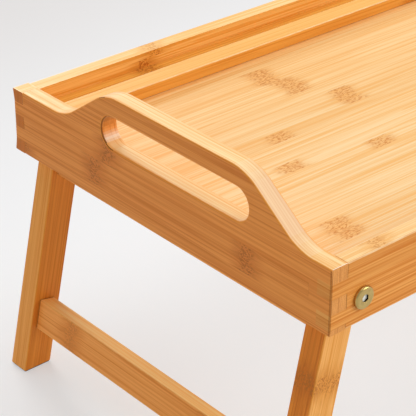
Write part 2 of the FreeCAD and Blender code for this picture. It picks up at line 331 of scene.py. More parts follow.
@dataclass(frozen=True)
class BambooFinish:
    """Clear-lacquered bamboo: its colours, and how strongly its strips, bands and knots show."""

    name: str
    face: Colour
    face_streak: Colour
    edge: Colour
    edge_streak: Colour
    end: Colour
    knot: Colour
    # Colour mixed into rounded edges: wear, and painted edge light.
    rim: Colour = (0.88, 0.34, 0.045)
    edge_knot: Colour | None = None
    strip_variation: float = 0.03
    strip_contrast: float = 0.12
    knot_reach: float = 0.0085
    knot_dash: float = 560.0
    bands: Strands = BROAD_BANDS

    def material(self) -> bpy.types.Material:
        """Lay out the finish."""
        return BambooRecipe(self).laid_out()


class BambooRecipe(Recipe):
    """Lays out bamboo by the grain, strip and facing that the piece's mesh carries."""

    FIBRES = (
        Strands(along=9.0, across=900.0, start=0.42, end=0.58, weight=0.34),
        Strands(along=5.0, across=430.0, start=0.38, end=0.62, weight=0.24),
        Strands(along=7.0, across=640.0, start=0.555, end=0.60, weight=0.50, detail=0.0),
        Strands(along=6.0, across=520.0, start=0.56, end=0.61, weight=-0.30, detail=0.0),
    )
    FIBRE_BIAS = 0.07
    FLAMES = Strands(along=75.0, across=700.0, start=0.47, end=0.60, weight=0.35)
    KNOT_DASHES = Strands(along=560.0, across=900.0, start=0.50, end=0.57)
    END_ROWS = Strands(along=0.0, across=88.0, through=1100.0, start=0.38, end=0.62, weight=0.30, detail=2.0)
    END_DOTS = Strands(along=0.0, across=1500.0, start=0.50, end=0.62, weight=0.35, detail=2.0)
    GLUE_LINE = (0.0002, 0.0006, 0.45, 0.0)
    KNOT_HALO = (0.003, 0.020, 1.0, 0.0)
    HALO_SHARE = 0.75
    KNOT_SHARE = 0.88
    KNOT_CORE = 0.35
    KNOT_RAGGED = (150.0, 0.016)
    GRAIN_SWAY = (70.0, 130.0, 0.006)
    EDGE_CALM = 0.7
    WEAR = (0.35, 0.65, 0.35, 0.65)
    WEAR_SCALE = 90.0
    # Worn edges with painted edge light, then a painted sheen in a pale highlight colour, then painted
    # shadow.
    WORN_GLINT_WIDTH = 0.2
    SHEEN_RAMP = (-1.0, 0.0, 0.75, 0.0)
    SHADOW = (1.2, 2.0, 0.0, 0.88)
    SHADOW_BLACK = 0.62
    PAINTED_HIGHLIGHT = (1.0, 0.85, 0.69)
    BLACK = (0.0, 0.0, 0.0)
    LACQUER = 0.36
    STREAK_ROUGHNESS = 0.12
    FLECK_PIT = 0.25
    PORE_DEPTH = 0.00005

    def __init__(self, finish: BambooFinish) -> None:
        """Read the mesh's marks and find the nearest knot.

        Args:
            finish: the colours and strengths.
        """
        super().__init__(finish.name)
        self.finish = finish
        self.along, self.across, self.depth = self.attribute("grain")
        self.tone, self.knot_at, self.knot_gap = self.attribute("strip")
        self.on_edge, self.on_end, self.rounded = self.attribute("facing")
        self.from_knot = self._distance_to_knot()
        self.halo = self.ramp(self.math("ABSOLUTE", self.from_knot), *self.KNOT_HALO)
        self.across = self._swayed()

    def laid_out(self) -> bpy.types.Material:
        """Join colour, gloss and relief.

        Returns:
            The material.
        """
        finish = self.finish
        calm_tone = self.times(self.tone, self.sloped(self.on_edge, -self.EDGE_CALM, 1.0))
        darkness = self._darkness(calm_tone)
        flecks = self._knot_flecks()
        streak = self.blend(self.on_edge, finish.face_streak, finish.edge_streak)
        colour = self.blend(darkness, self.blend(self.on_edge, finish.face, finish.edge), streak)
        brightness = self.sloped(calm_tone, finish.strip_variation, 1.0)
        colour = self.blend(1.0, colour, self.join(brightness, brightness, brightness), "MULTIPLY")
        colour = self._knot_marks(colour, streak, flecks)
        colour = self.blend(self.on_end, colour, self._end_grain())
        self.set(base_color=self._rims(colour))
        self.set(roughness=self.sloped(darkness, self.STREAK_ROUGHNESS, self.LACQUER))
        self.set(coat_weight=0.03, coat_roughness=0.22, specular_ior_level=0.15)
        height = self.sloped(flecks, -self.FLECK_PIT, self.times(darkness, -1.0))
        self.relief(height, self.PORE_DEPTH, 0.6)
        return self.material

    def _drawn(self, strands: Strands, along: Socket) -> Socket:
        """A pattern drawn out along the grain.

        Args:
            strands: how dense, crisp and strong it is.
            along: place along the grain, from a strip's start or from a knot.

        Returns:
            0 between the strands, their weight on them.
        """
        through = strands.across if strands.through is None else strands.through
        where = self.join(self.times(along, strands.along), self.times(self.across, strands.across),
                          self.times(self.depth, through))
        pattern = self.noise(where, 1.0, strands.detail)
        return self.ramp(pattern, strands.start, strands.end, 0.0, strands.weight)

    def _darkness(self, tone: Socket) -> Socket:
        """How much of the streak colour shows: every set of fibres on top of the strip's own tone.

        Args:
            tone: the strip's tone, darker below 0.

        Returns:
            0 for the base colour, 1 for the streak colour.
        """
        total = self.sloped(tone, -self.finish.strip_contrast, self.FIBRE_BIAS)
        for fibres in (*self.FIBRES, self.finish.bands):
            total = self.math("ADD", total, self._drawn(fibres, self.along))
        return self.math("ADD", total, 0.0, clamp=True)

    def _distance_to_knot(self) -> Socket:
        """Signed distance along the grain from the nearest knot, whose line across the strip is ragged.

        Returns:
            The distance.
        """
        half_gap = self.times(self.knot_gap, 0.5)
        plain_distance = self.math("WRAP", self.math("SUBTRACT", self.along, self.knot_at), half_gap,
                                   self.times(half_gap, -1.0))
        scale, reach = self.KNOT_RAGGED
        where = self.join(0.0, self.times(self.across, scale), self.times(self.depth, scale))
        ragged = self.math("SUBTRACT", self.noise(where), 0.5)
        return self.sloped(ragged, reach, plain_distance)

    def _swayed(self) -> Socket:
        """Bend the grain around a knot.

        Returns:
            The place across the grain that the patterns are read at.
        """
        along_scale, across_scale, reach = self.GRAIN_SWAY
        where = self.join(self.times(self.from_knot, along_scale), self.times(self.across, across_scale),
                          self.times(self.depth, across_scale))
        drift = self.math("SUBTRACT", self.noise(where, 1.0, 1.0), 0.5)
        return self.sloped(self.times(drift, self.halo), reach, self.across)

    def _knot_flecks(self) -> Socket:
        """Short dark dashes where the stem had a knot.

        Returns:
            1 on a dash, 0 elsewhere.
        """
        reach = self.finish.knot_reach
        inside = self.ramp(self.math("ABSOLUTE", self.from_knot), self.KNOT_CORE * reach, reach, 1.0, 0.0)
        dashes = replace(self.KNOT_DASHES, along=self.finish.knot_dash)
        return self.times(inside, self._drawn(dashes, self.from_knot))

    def _knot_marks(self, colour: Socket, streak: Socket, flecks: Socket) -> Socket:
        """The darker wood, flames and flecks around a knot.

        Args:
            colour: the plain wood.
            streak: its darker fibres.
            flecks: 1 on a fleck.

        Returns:
            The wood with its knots.
        """
        knot = self.blend(self.on_edge, self.finish.knot, self.finish.edge_knot or self.finish.knot)
        colour = self.blend(self.times(self.halo, self.HALO_SHARE), colour, streak)
        colour = self.blend(self.times(self._drawn(self.FLAMES, self.from_knot), self.halo), colour, knot)
        return self.blend(self.times(flecks, self.KNOT_SHARE), colour, knot)

    def _end_grain(self) -> Socket:
        """Colour of a face cut across the fibres: fine rows, dark dots and the glue line between plies.

        Returns:
            The colour.
        """
        glue = self.ramp(self.math("ABSOLUTE", self.depth), *self.GLUE_LINE)
        colour = self.finish.end
        for amount in (self._drawn(self.END_ROWS, self.along), self._drawn(self.END_DOTS, self.along), glue):
            colour = self.blend(amount, colour, self.finish.knot)
        return colour

    def _rims(self, colour: Socket) -> Socket:
        """Worn rounded edges with a painted highlight, painted sheen and painted shadow, by the mark that
        Mark explains.

        Args:
            colour: the wood.

        Returns:
            The wood with its edges.
        """
        where = self.join(self.times(self.along, self.WEAR_SCALE), self.across, self.depth)
        worn = self.ramp(self.noise(where, 1.0, 3.0), *self.WEAR)
        # Wear with painted edge light near the worn mark, a painted sheen below 0, a painted shadow above
        # 1.2.
        off_worn_glint = self.math("ABSOLUTE", self.math("SUBTRACT", self.rounded, Mark.WORN_GLINT))
        worn_glint = self.sloped(off_worn_glint, -1.0 / self.WORN_GLINT_WIDTH, 1.0, clamp=True)
        colour = self.blend(self.times(worn_glint, worn), colour, self.finish.rim)
        colour = self.blend(self.ramp(self.rounded, *self.SHEEN_RAMP), colour, self.PAINTED_HIGHLIGHT)
        shadow = self.blend(self.SHADOW_BLACK, self.finish.knot, self.BLACK)
        return self.blend(self.ramp(self.rounded, *self.SHADOW), colour, shadow)


@dataclass(frozen=True)
class MetalFinish:
    """Turned metal, satin, with faint lathe rings read from the piece's turning attribute; a socket's walls
    are painted dark as shade and its floor pale and non-metal as a painted highlight.
    """

    CLOUDS: ClassVar[tuple[float, ...]] = (0.38, 0.70, 0.0, 0.65)
    ANGLE_SCALE: ClassVar[float] = 0.002
    GRIT_ROUGHNESS: ClassVar[float] = 0.16
    RING_SHARE: ClassVar[float] = 0.12
    RING_DEPTH: ClassVar[float] = 0.00002

    name: str
    colour: Colour
    tarnish: Colour
    # Painted shade on the socket's walls and a painted highlight on its floor.
    socket_wall_shade: Colour = (0.018, 0.012, 0.006)
    socket_floor_glint: Colour = (0.92, 0.90, 0.80)
    roughness: float = 0.30
    ring_pitch: float = 0.00035
    cloud_scale: float = 420.0
    grit_scale: float = 3500.0

    def material(self) -> bpy.types.Material:
        """Lay out the finish.

        Returns:
            The material.
        """
        recipe = Recipe(self.name)
        radius, angle, height = recipe.attribute("turning")
        socket_wall_shade, socket_floor_glint, _ = recipe.attribute("pocket")
        place = recipe.join(radius, recipe.times(angle, self.ANGLE_SCALE), height)
        clouds = recipe.ramp(recipe.noise(place, self.cloud_scale, 3.0), *self.CLOUDS)
        grit = recipe.noise(place, self.grit_scale)
        rings = recipe.math("SINE", recipe.times(radius, math.tau / self.ring_pitch))
        colour = recipe.blend(clouds, self.colour, self.tarnish)
        colour = recipe.blend(socket_wall_shade, colour, self.socket_wall_shade)
        colour = recipe.blend(socket_floor_glint, colour, self.socket_floor_glint)
        recipe.set(base_color=colour, metallic=recipe.math("SUBTRACT", 1.0, socket_floor_glint))
        least = self.roughness - self.GRIT_ROUGHNESS / 2
        recipe.set(roughness=recipe.sloped(grit, self.GRIT_ROUGHNESS, least))
        recipe.relief(recipe.sloped(rings, self.RING_SHARE, grit), self.RING_DEPTH, 0.5)
        return recipe.material


@dataclass(frozen=True)
class MouldedFinish:
    """Moulded rubber or nylon with a fine matt skin."""

    DUST: ClassVar[tuple[float, ...]] = (0.35, 0.7, 0.0, 0.5)
    SKIN_ROUGHNESS: ClassVar[float] = 0.2
    SKIN_DEPTH: ClassVar[float] = 0.00004

    name: str
    colour: Colour
    dust: Colour
    roughness: float
    glow: float = 0.0
    skin_scale: float = 1600.0
    cloud_scale: float = 180.0

    def material(self) -> bpy.types.Material:
        """Lay out the finish.

        Returns:
            The material.
        """
        recipe = Recipe(self.name)
        place = recipe.object_place()
        skin = recipe.noise(place, self.skin_scale)
        dust = recipe.ramp(recipe.noise(place, self.cloud_scale), *self.DUST)
        recipe.set(base_color=recipe.blend(dust, self.colour, self.dust))
        least = self.roughness - self.SKIN_ROUGHNESS / 2
        recipe.set(roughness=recipe.sloped(skin, self.SKIN_ROUGHNESS, least))
        recipe.set(subsurface_weight=self.glow, subsurface_scale=0.002)
        recipe.relief(skin, self.SKIN_DEPTH, 0.5)
        return recipe.material


@dataclass(frozen=True)
class FloorFinish:
    """Plain pale studio floor, whose shadows look soft and light to the camera."""

    name: str
    colour: Colour
    cloud: Colour
    backdrop: Colour
    left_share: float
    right_share: float
    far_shade: Colour
    fade_from: float = 0.20
    fade_to: float = 0.90
    share_from: float = -0.37
    share_to: float = -0.10
    cloud_scale: float = 2.2

    def material(self) -> bpy.types.Material:
        """Lay out the finish.

        Returns:
            The material.
        """
        recipe = Recipe(self.name)
        place = recipe.object_place()
        along_tray, towards_back, _ = recipe.split(place)
        far = recipe.ramp(towards_back, self.fade_from, self.fade_to)
        shade = recipe.blend(far, (1.0, 1.0, 1.0), self.far_shade)
        share = recipe.ramp(along_tray, self.share_from, self.share_to, self.left_share, self.right_share)
        clouds = recipe.ramp(recipe.noise(place, self.cloud_scale), 0.3, 0.7)
        surface = recipe.blend(clouds, self.colour, self.cloud)
        recipe.set(base_color=recipe.blend(1.0, surface, shade, "MULTIPLY"))
        recipe.set(roughness=0.85, specular_ior_level=0.2)
        paper = recipe.node("Emission", [recipe.blend(1.0, self.backdrop, shade, "MULTIPLY")])
        seen = recipe.node("LightPath").outputs
        mirrored = recipe.math("MAXIMUM", seen["Is Glossy Ray"], seen["Is Transmission Ray"])
        direct = recipe.math("MAXIMUM", seen["Is Camera Ray"], mirrored)
        layers = [recipe.times(direct, share), recipe.shader.outputs["BSDF"], paper.outputs["Emission"]]
        recipe.feed(recipe.output.inputs["Surface"], recipe.node("MixShader", layers).outputs[0])
        return recipe.material


Finish = BambooFinish | MetalFinish | MouldedFinish | FloorFinish


BOARD_BAMBOO = BambooFinish(
    "end_board_bamboo", face=(0.90, 0.330, 0.059), face_streak=(0.71, 0.210, 0.026), edge=(0.95, 0.68, 0.340),
    edge_streak=(0.85, 0.45, 0.145), end=(0.84, 0.36, 0.090), knot=(0.48, 0.135, 0.013), strip_contrast=0.06,
    bands=SOFT_BANDS)
# The rails' pale rim is a painted highlight along their rounded edges, mixed with wear.
RAIL_BAMBOO = BambooFinish(
    "rail_bamboo", face=(0.88, 0.39, 0.085), face_streak=(0.69, 0.21, 0.021), edge=(0.93, 0.66, 0.33),
    edge_streak=(0.86, 0.46, 0.15), end=(0.70, 0.22, 0.025), knot=(0.48, 0.135, 0.013),
    rim=(0.98, 0.74, 0.42), edge_knot=(0.64, 0.27, 0.065))
BACK_RAIL_BAMBOO = replace(
    RAIL_BAMBOO, name="back_rail_bamboo", face=(0.95, 0.55, 0.15), face_streak=(0.80, 0.35, 0.050),
    edge=(0.94, 0.63, 0.29), edge_streak=(0.87, 0.48, 0.15), end=(0.68, 0.19, 0.016), bands=SOFT_BANDS)
DIVIDER_BAMBOO = replace(
    RAIL_BAMBOO, name="divider_bamboo", face=(0.84, 0.38, 0.065), face_streak=(0.68, 0.24, 0.025),
    edge=(0.88, 0.48, 0.135), edge_streak=(0.82, 0.39, 0.080), bands=SOFT_BANDS)
PANEL_BAMBOO = BambooFinish(
    "panel_bamboo", face=(0.875, 0.615, 0.320), face_streak=(0.83, 0.45, 0.145), edge=(0.85, 0.405, 0.068),
    edge_streak=(0.72, 0.27, 0.034), end=(0.70, 0.32, 0.10), knot=(0.62, 0.235, 0.048),
    edge_knot=(0.42, 0.13, 0.014), strip_variation=0.015, strip_contrast=0.14, knot_reach=0.014,
    knot_dash=330.0)
# Lit and shaded copies of one bamboo: the front leg's broad face painted lighter and its narrow face darker,
# the back leg's the other way round, as painted light and shade.
BACK_LEG_SHADED_FACE_BAMBOO = BambooFinish(
    "back_leg_shaded_face_bamboo", face=(0.82, 0.29, 0.038), face_streak=(0.67, 0.200, 0.019), edge=(0.96, 0.42, 0.088),
    edge_streak=(0.82, 0.29, 0.040), end=(0.70, 0.24, 0.050), knot=(0.50, 0.155, 0.017), bands=SOFT_BANDS)
FRONT_LEG_LIT_FACE_BAMBOO = BambooFinish(
    "front_leg_lit_face_bamboo", face=(0.97, 0.485, 0.140), face_streak=(0.80, 0.32, 0.050), edge=(0.88, 0.28, 0.026),
    edge_streak=(0.64, 0.17, 0.012), end=(0.70, 0.24, 0.050), knot=(0.50, 0.155, 0.017))
STRETCHER_BAMBOO = replace(
    BACK_LEG_SHADED_FACE_BAMBOO, name="stretcher_bamboo", face=(0.98, 0.40, 0.090), face_streak=(0.78, 0.25, 0.034),
    edge=(1.0, 0.64, 0.25), edge_streak=(0.94, 0.46, 0.11), knot=(0.64, 0.21, 0.032), rim=(0.96, 0.50, 0.14))
BRASS = MetalFinish("antique_brass", colour=(0.56, 0.40, 0.145), tarnish=(0.44, 0.30, 0.100))
STEEL = MetalFinish("screw_steel", colour=(0.62, 0.61, 0.58), tarnish=(0.42, 0.41, 0.39), roughness=0.34)
RUBBER = MouldedFinish("pad_rubber", colour=(0.035, 0.032, 0.032), dust=(0.075, 0.07, 0.068), roughness=0.75)
NYLON = MouldedFinish(
    "washer_nylon", colour=(0.78, 0.76, 0.70), dust=(0.62, 0.60, 0.54), roughness=0.42, glow=0.15)
FLOOR = FloorFinish(
    "studio_floor", colour=(0.82, 0.84, 0.855), cloud=(0.80, 0.82, 0.835), backdrop=(0.945, 0.95, 0.96),
    left_share=0.38, right_share=0.64, far_shade=(0.76, 0.725, 0.705))


@cache
def dressed(finish: Finish) -> bpy.types.Material:
    """The material of a finish, made once however many pieces wear it."""
    return finish.material()


# ---------------------------------------------------------------- grain and glue-up


@dataclass(frozen=True)
class Knot:
    """A row of knot marks across one or more strips."""

    along: float
    low: float
    high: float
    gap: float = 0.27


@dataclass(frozen=True)
class ButtSeam:
    """Where two lengths of strip meet end to end."""

    along: float
    low: float
    high: float
    width: float = 0.0003


@dataclass(frozen=True)
class Layup:
    """How a piece is glued up from strips: the way the grain runs and where strips and knots lie."""

    NO_KNOTS: ClassVar[float] = 1000.0
    SEAM_TONE: ClassVar[float] = -3.0

    along: Vector
    across: Vector
    strip_width: float
    first_edge: float = 0.0
    ply: float | None = None
    origin: Vector = field(default_factory=Vector)
    knots: tuple[Knot, ...] = ()
    seams: tuple[ButtSeam, ...] = ()
    lone_gap: float = 0.62
    lone_reach: tuple[float, float] = (0.06, 0.25)
    clean_edges: bool = False
    edge_shares: tuple[tuple[float, float], ...] = ()
    tones: tuple[tuple[int, float], ...] = ()
    seed: int = 1

    @property
    def depth(self) -> Vector:
        """Direction through the thickness."""
        return self.along.cross(self.across)

    def place(self, point: Vector) -> Vector:
        """A point told along, across and through the grain."""
        offset = point - self.origin
        return Vector((offset.dot(self.along), offset.dot(self.across), offset.dot(self.depth)))

    def lane(self, place: Vector) -> tuple[int, int]:
        """Which half strip and which ply a place lies in."""
        row = math.floor((place.y - self.first_edge) / (self.strip_width / 2))
        return row, 0 if self.ply is None or place.z < self.ply else 1

    def strip_facts(self, place: Vector, edge: int = 0) -> tuple[float, float, float, float]:
        """Tone, knot position, knot spacing and grain shift of the strip at a place.

        Args:
            place: along, across and through the grain.
            edge: 0 on a broad face, else which of the two narrow edges, 1 or -1.

        Returns:
            Tone from -1 to 1, where a knot lies, the spacing of knots and the grain's shift.
        """
        row, ply = self.lane(place)
        strip = f"edge {edge}" if edge else row // 2
        beyond = sum(1 for seam in self.seams if place.x > seam.along and seam.low < place.y < seam.high)
        draw = random.Random(f"{self.seed}:{strip}:{ply}:{beyond}")
        tone = dict(self.tones).get(strip, draw.uniform(-1.0, 1.0))
        lone = draw.uniform(*self.lone_reach)
        shift = draw.uniform(0.0, 9.0)
        if edge and self.clean_edges:
            return tone, shift + self.NO_KNOTS / 2, self.NO_KNOTS, shift
        for seam in self.seams:
            if abs(place.x - seam.along) < seam.width and seam.low < place.y < seam.high:
                return self.SEAM_TONE, lone + shift, self.lone_gap, shift
        for knot in self.knots:
            if knot.low < place.y < knot.high:
                return tone, knot.along + shift, knot.gap, shift
        return tone, lone + shift, self.lone_gap, shift


# ---------------------------------------------------------------- stock on the bench


class Workpiece:
    """A piece of stock, shaped with the mesh editor's own operators."""

    END_ZONE = 0.006
    END_FACING = 0.8
    BROAD_FACING = 0.7
    CROSS_CUT = 0.92
    SHIFT_ACROSS = 0.37
    SKIPPED_SLIVER = 0.001
    SOCKET_LIP = 0.0003
    SOCKET_REACH = 0.0026
    SOCKET_RADIUS = 0.00295

    def __init__(self) -> None:
        """Start with no material at all."""
        self.mesh = bmesh.new()
        self.rounded = self.mesh.faces.layers.float.new("rounded")

    @classmethod
    def block(cls, low: Vector, high: Vector) -> "Workpiece":
        """A rectangular block.

        Args:
            low: its lowest corner.
            high: its highest corner.

        Returns:
            The block.
        """
        piece = cls()
        bmesh.ops.create_cube(piece.mesh, size=1.0)
        bmesh.ops.scale(piece.mesh, vec=high - low, verts=piece.mesh.verts)
        bmesh.ops.translate(piece.mesh, vec=(low + high) / 2, verts=piece.mesh.verts)
        return piece

    @classmethod
    def outline(cls, corners: Sequence[Vector]) -> "Workpiece":
        """A flat face with straight sides, ready to have corners rounded and to be thickened.

        Args:
            corners: of the face, in order.

        Returns:
            The face.
        """
        piece = cls()
        piece.mesh.faces.new([piece.mesh.verts.new(corner) for corner in corners])
        return piece

    @classmethod
    def rod(cls, start: Vector, axis: Vector, length: float, radius: float, segments: int = 48,
            end_radius: float | None = None) -> "Workpiece":
        """A round bar or a cone.

        Args:
            start: centre of its first end.
            axis: unit vector along it.
            length: how long it is.
            radius: half its diameter at the first end.
            segments: sides of the circle.
            end_radius: half its diameter at the other end, where that differs.

        Returns:
            The bar.
        """
        piece = cls()
        turn = UP.rotation_difference(axis).to_matrix().to_4x4()
        bmesh.ops.create_cone(piece.mesh, cap_ends=True, segments=segments, radius1=radius,
                              radius2=radius if end_radius is None else end_radius, depth=length,
                              matrix=Matrix.Translation(start + axis * length / 2) @ turn)
        return piece

    @classmethod
    def turned(cls, start: Vector, axis: Vector, sideways: Vector, profile: Sequence[tuple[float, float]],
               steps: int) -> "Workpiece":
        """A piece turned on the lathe; a profile that starts off the axis is closed into a ring.

        Args:
            start: the point on the axis that distances are measured from.
            axis: unit vector along it.
            sideways: unit vector square to it.
            profile: radius and distance along the axis of each corner.
            steps: sides of the circle.

        Returns:
            The piece.
        """
        piece = cls()
        points = [piece.mesh.verts.new(start + sideways * radius + axis * along) for radius, along in profile]
        course = points + points[:1] if profile[0][0] > 0.0 else points
        edges = [piece.mesh.edges.new(pair) for pair in zip(course, course[1:])]
        bmesh.ops.spin(piece.mesh, geom=points + edges, cent=start, axis=axis, angle=math.tau, steps=steps,
                       use_merge=True)
        bmesh.ops.remove_doubles(piece.mesh, verts=piece.mesh.verts, dist=ROUNDING)
        piece.face_outwards()
        return piece

    def near(self, *points: Vector) -> list[bmesh.types.BMVert]:
        """Vertices that lie at given points."""
        return [v for v in self.mesh.verts if any((v.co - p).length < TOUCHING for p in points)]

    def edges_where(self, test: VectorTest, fold: float = 0.3) -> list[bmesh.types.BMEdge]:
        """Edges creased by more than an angle, whose two end points pass a test."""
        creased = (e for e in self.mesh.edges if len(e.link_faces) == 2 and e.calc_face_angle() > fold)
        return [e for e in creased if test(e.verts[0].co, e.verts[1].co)]

    def round_corner(self, corner: Vector, radius: float, segments: int) -> None:
        """Round one corner of a flat outline.

        Args:
            corner: where it is.
            radius: of the arc.
            segments: sides of the arc.
        """
        (vertex,) = self.near(corner)
        ends = [edge.other_vert(vertex).co - vertex.co for edge in vertex.link_edges]
        turn = math.pi - ends[0].angle(ends[1])
        bmesh.ops.bevel(self.mesh, geom=[vertex], offset=radius * math.tan(turn / 2), offset_type="OFFSET",
                        segments=segments, profile=0.5, affect="VERTICES", clamp_overlap=False, material=-1)

    def thicken(self, push: Vector) -> None:
        """Push every flat face out into a board.

        Args:
            push: how far and which way.
        """
        grown = bmesh.ops.extrude_face_region(self.mesh, geom=list(self.mesh.faces))
        moved = [item for item in grown["geom"] if isinstance(item, bmesh.types.BMVert)]
        bmesh.ops.translate(self.mesh, vec=push, verts=moved)
        self.face_outwards()

    def face_outwards(self) -> None:
        """Turn every face to the outside."""
        bmesh.ops.recalc_face_normals(self.mesh, faces=self.mesh.faces)

    def ease(self, edges: Iterable[bmesh.types.BMEdge], radius: float, segments: int = 3,
             mark: float = Mark.WORN_GLINT) -> None:
        """Round edges and mark the rounding.

        Args:
            edges: which edges.
            radius: of the rounding.
            segments: strips in the rounding.
            mark: how it reads, as Mark explains.
        """
        done = bmesh.ops.bevel(self.mesh, geom=list(edges), offset=radius, offset_type="OFFSET", profile=0.5,
                               segments=segments, affect="EDGES", clamp_overlap=False, material=-1)
        for face in done["faces"]:
            face[self.rounded] = mark

    def mark(self, value: float, test: VectorTest) -> None:
        """Mark faces whose middle and normal pass a test.

        Args:
            value: the mark, as Mark explains.
            test: takes a face's middle and its normal.
        """
        self.mesh.normal_update()
        for face in self.mesh.faces:
            if test(face.calc_center_median(), face.normal):
                face[self.rounded] = value

    def add(self, other: "Workpiece") -> None:
        """Take another piece's solids into this one.

        Args:
            other: the piece, which stays as it is.
        """
        carried = bpy.data.meshes.new("carried")
        other.mesh.to_mesh(carried)
        self.mesh.from_mesh(carried)
        bpy.data.meshes.remove(carried)

    def cut(self, *cutters: "Workpiece") -> None:
        """Take the cutters' space away."""
        self._combine("DIFFERENCE", cutters)

    def fuse(self, *others: "Workpiece") -> None:
        """Grow by the others' space."""
        self._combine("UNION", others)

    def _combine(self, operation: str, others: Sequence["Workpiece"]) -> None:
        """Combine closed shapes with this one.

        Args:
            operation: DIFFERENCE or UNION.
            others: the closed shapes.
        """
        blank, *tools = [piece._on_bench() for piece in (self, *others)]
        for tool in tools:
            saw = blank.modifiers.new("saw", "BOOLEAN")
            saw.operation = operation
            saw.solver = "EXACT"
            saw.object = tool
        bpy.context.view_layer.update()
        evaluated = blank.evaluated_get(bpy.context.evaluated_depsgraph_get())
        result = bpy.data.meshes.new_from_object(evaluated)
        self.mesh.clear()
        self.mesh.from_mesh(result)
        layers = self.mesh.faces.layers.float
        self.rounded = layers.get("rounded") or layers.new("rounded")
        bmesh.ops.remove_doubles(self.mesh, verts=self.mesh.verts, dist=ROUNDING)
        used = [thing.data for thing in (blank, *tools)]
        for data in (*used, result):
            bpy.data.meshes.remove(data)

    def _on_bench(self) -> bpy.types.Object:
        """A short-lived object that holds the piece, and goes when its mesh is removed.

        Returns:
            The object, linked to the scene.
        """
        data = bpy.data.meshes.new("bench")
        self.mesh.to_mesh(data)
        return linked("bench", data)

    def part_at(self, point: Vector, normal: Vector, saw: bool = False) -> list[bmesh.types.BMEdge]:
        """Score every face along a plane, so that both sides can differ.

        Args:
            point: a point on the plane.
            normal: unit vector square to it.
            saw: whether everything on that vector's side is taken away.

        Returns:
            The edges on the plane.
        """
        whole = [*self.mesh.verts, *self.mesh.edges, *self.mesh.faces]
        done = bmesh.ops.bisect_plane(self.mesh, geom=whole, dist=ROUNDING, plane_co=point, plane_no=normal,
                                      clear_outer=saw)
        return [item for item in done["geom_cut"] if isinstance(item, bmesh.types.BMEdge)]

    def saw_off(self, point: Vector, normal: Vector) -> None:
        """Saw away everything on a plane's far side and close the cut."""
        bmesh.ops.holes_fill(self.mesh, edges=self.part_at(point, normal, saw=True), sides=0)
        self.face_outwards()

    def turn(self, centre: Vector, axis: Vector, angle: float) -> None:
        """Turn the piece about an axis through a point, by the right hand."""
        rotation = Matrix.Translation(centre) @ Matrix.Rotation(angle, 4, axis) @ Matrix.Translation(-centre)
        bmesh.ops.transform(self.mesh, matrix=rotation, verts=self.mesh.verts)

    def mirror(self, normal: Vector) -> None:
        """Make the piece its own mirror twin across the tray's middle."""
        bmesh.ops.transform(self.mesh, matrix=Matrix.Scale(-1.0, 4, normal), verts=self.mesh.verts)
        bmesh.ops.reverse_faces(self.mesh, faces=self.mesh.faces)

    def lay_up(self, layup: Layup, tips: Layup | None = None) -> None:
        """Score the strips into the piece and write the grain that its finish reads.

        Args:
            layup: how the piece is glued up.
            tips: the neighbour's glue-up, where the piece's sawn ends are dressed to run on from it.
        """
        self._score_strips(layup)
        grain = self.mesh.loops.layers.float_vector.new("grain")
        strip = self.mesh.faces.layers.float_vector.new("strip")
        facing = self.mesh.faces.layers.float_vector.new("facing")
        self.mesh.normal_update()
        reach = [layup.place(vertex.co).x for vertex in self.mesh.verts]
        ends = min(reach) + self.END_ZONE, max(reach) - self.END_ZONE
        for face in self.mesh.faces:
            centre = face.calc_center_median()
            middle = layup.place(centre)
            is_end = abs(face.normal.dot(layup.along)) > self.END_FACING and not ends[0] < middle.x < ends[1]
            rule = tips if is_end and tips else layup
            is_end = is_end and not tips
            is_edge = not is_end and abs(face.normal.dot(rule.depth)) < self.BROAD_FACING
            lean = 1 if face.normal.dot(rule.across) > 0 else -1
            tone, knot_at, gap, shift = rule.strip_facts(rule.place(centre), lean * is_edge)
            for corner in face.loops:
                along, across, depth = rule.place(corner.vert.co)
                across = shift * self.SHIFT_ACROSS + (0.0 if is_edge else across)
                corner[grain] = (along + shift, across, depth - (rule.ply or 0.0))
            face[strip] = (tone, knot_at, gap)
            edge_share = float(is_edge) * (1.0 - self.CROSS_CUT * face.normal.dot(rule.along) ** 2)
            edge_share = max([edge_share] + [share for start, share in rule.edge_shares if middle.y > start])
            face[facing] = (edge_share, float(is_end), face[self.rounded])

    def _score_strips(self, layup: Layup) -> None:
        """Cut the faces along strip edges, ply joints and butt seams without parting them.

        Args:
            layup: how the piece is glued up.
        """
        heights = [layup.place(vertex.co).y - layup.first_edge for vertex in self.mesh.verts]
        lane = layup.strip_width / 2
        first = math.ceil(min(heights) / lane + self.SKIPPED_SLIVER)
        last = math.floor(max(heights) / lane - self.SKIPPED_SLIVER)
        for row in range(first, last + 1):
            self.part_at(layup.origin + layup.across * (layup.first_edge + row * lane), layup.across)
        if layup.ply is not None:
            self.part_at(layup.origin + layup.depth * layup.ply, layup.depth)
        for seam in layup.seams:
            for side in (-0.5, 0.5):
                self.part_at(layup.origin + layup.along * (seam.along + side * seam.width), layup.along)

    def record_turning(self, start: Vector, axis: Vector) -> None:
        """Write each point's radius, angle and height about an axis, for finishes with lathe marks.

        Args:
            start: centre of the outermost face.
            axis: unit vector along the axis, outwards.
        """
        turning = self.mesh.verts.layers.float_vector.new("turning")
        pocket = self.mesh.faces.layers.float_vector.new("pocket")
        sideways = axis.orthogonal().normalized()
        other = axis.cross(sideways)
        for vertex in self.mesh.verts:
            offset = vertex.co - start
            height = offset.dot(axis)
            flat = offset - axis * height
            vertex[turning] = (flat.length, math.atan2(flat.dot(other), flat.dot(sideways)), height)
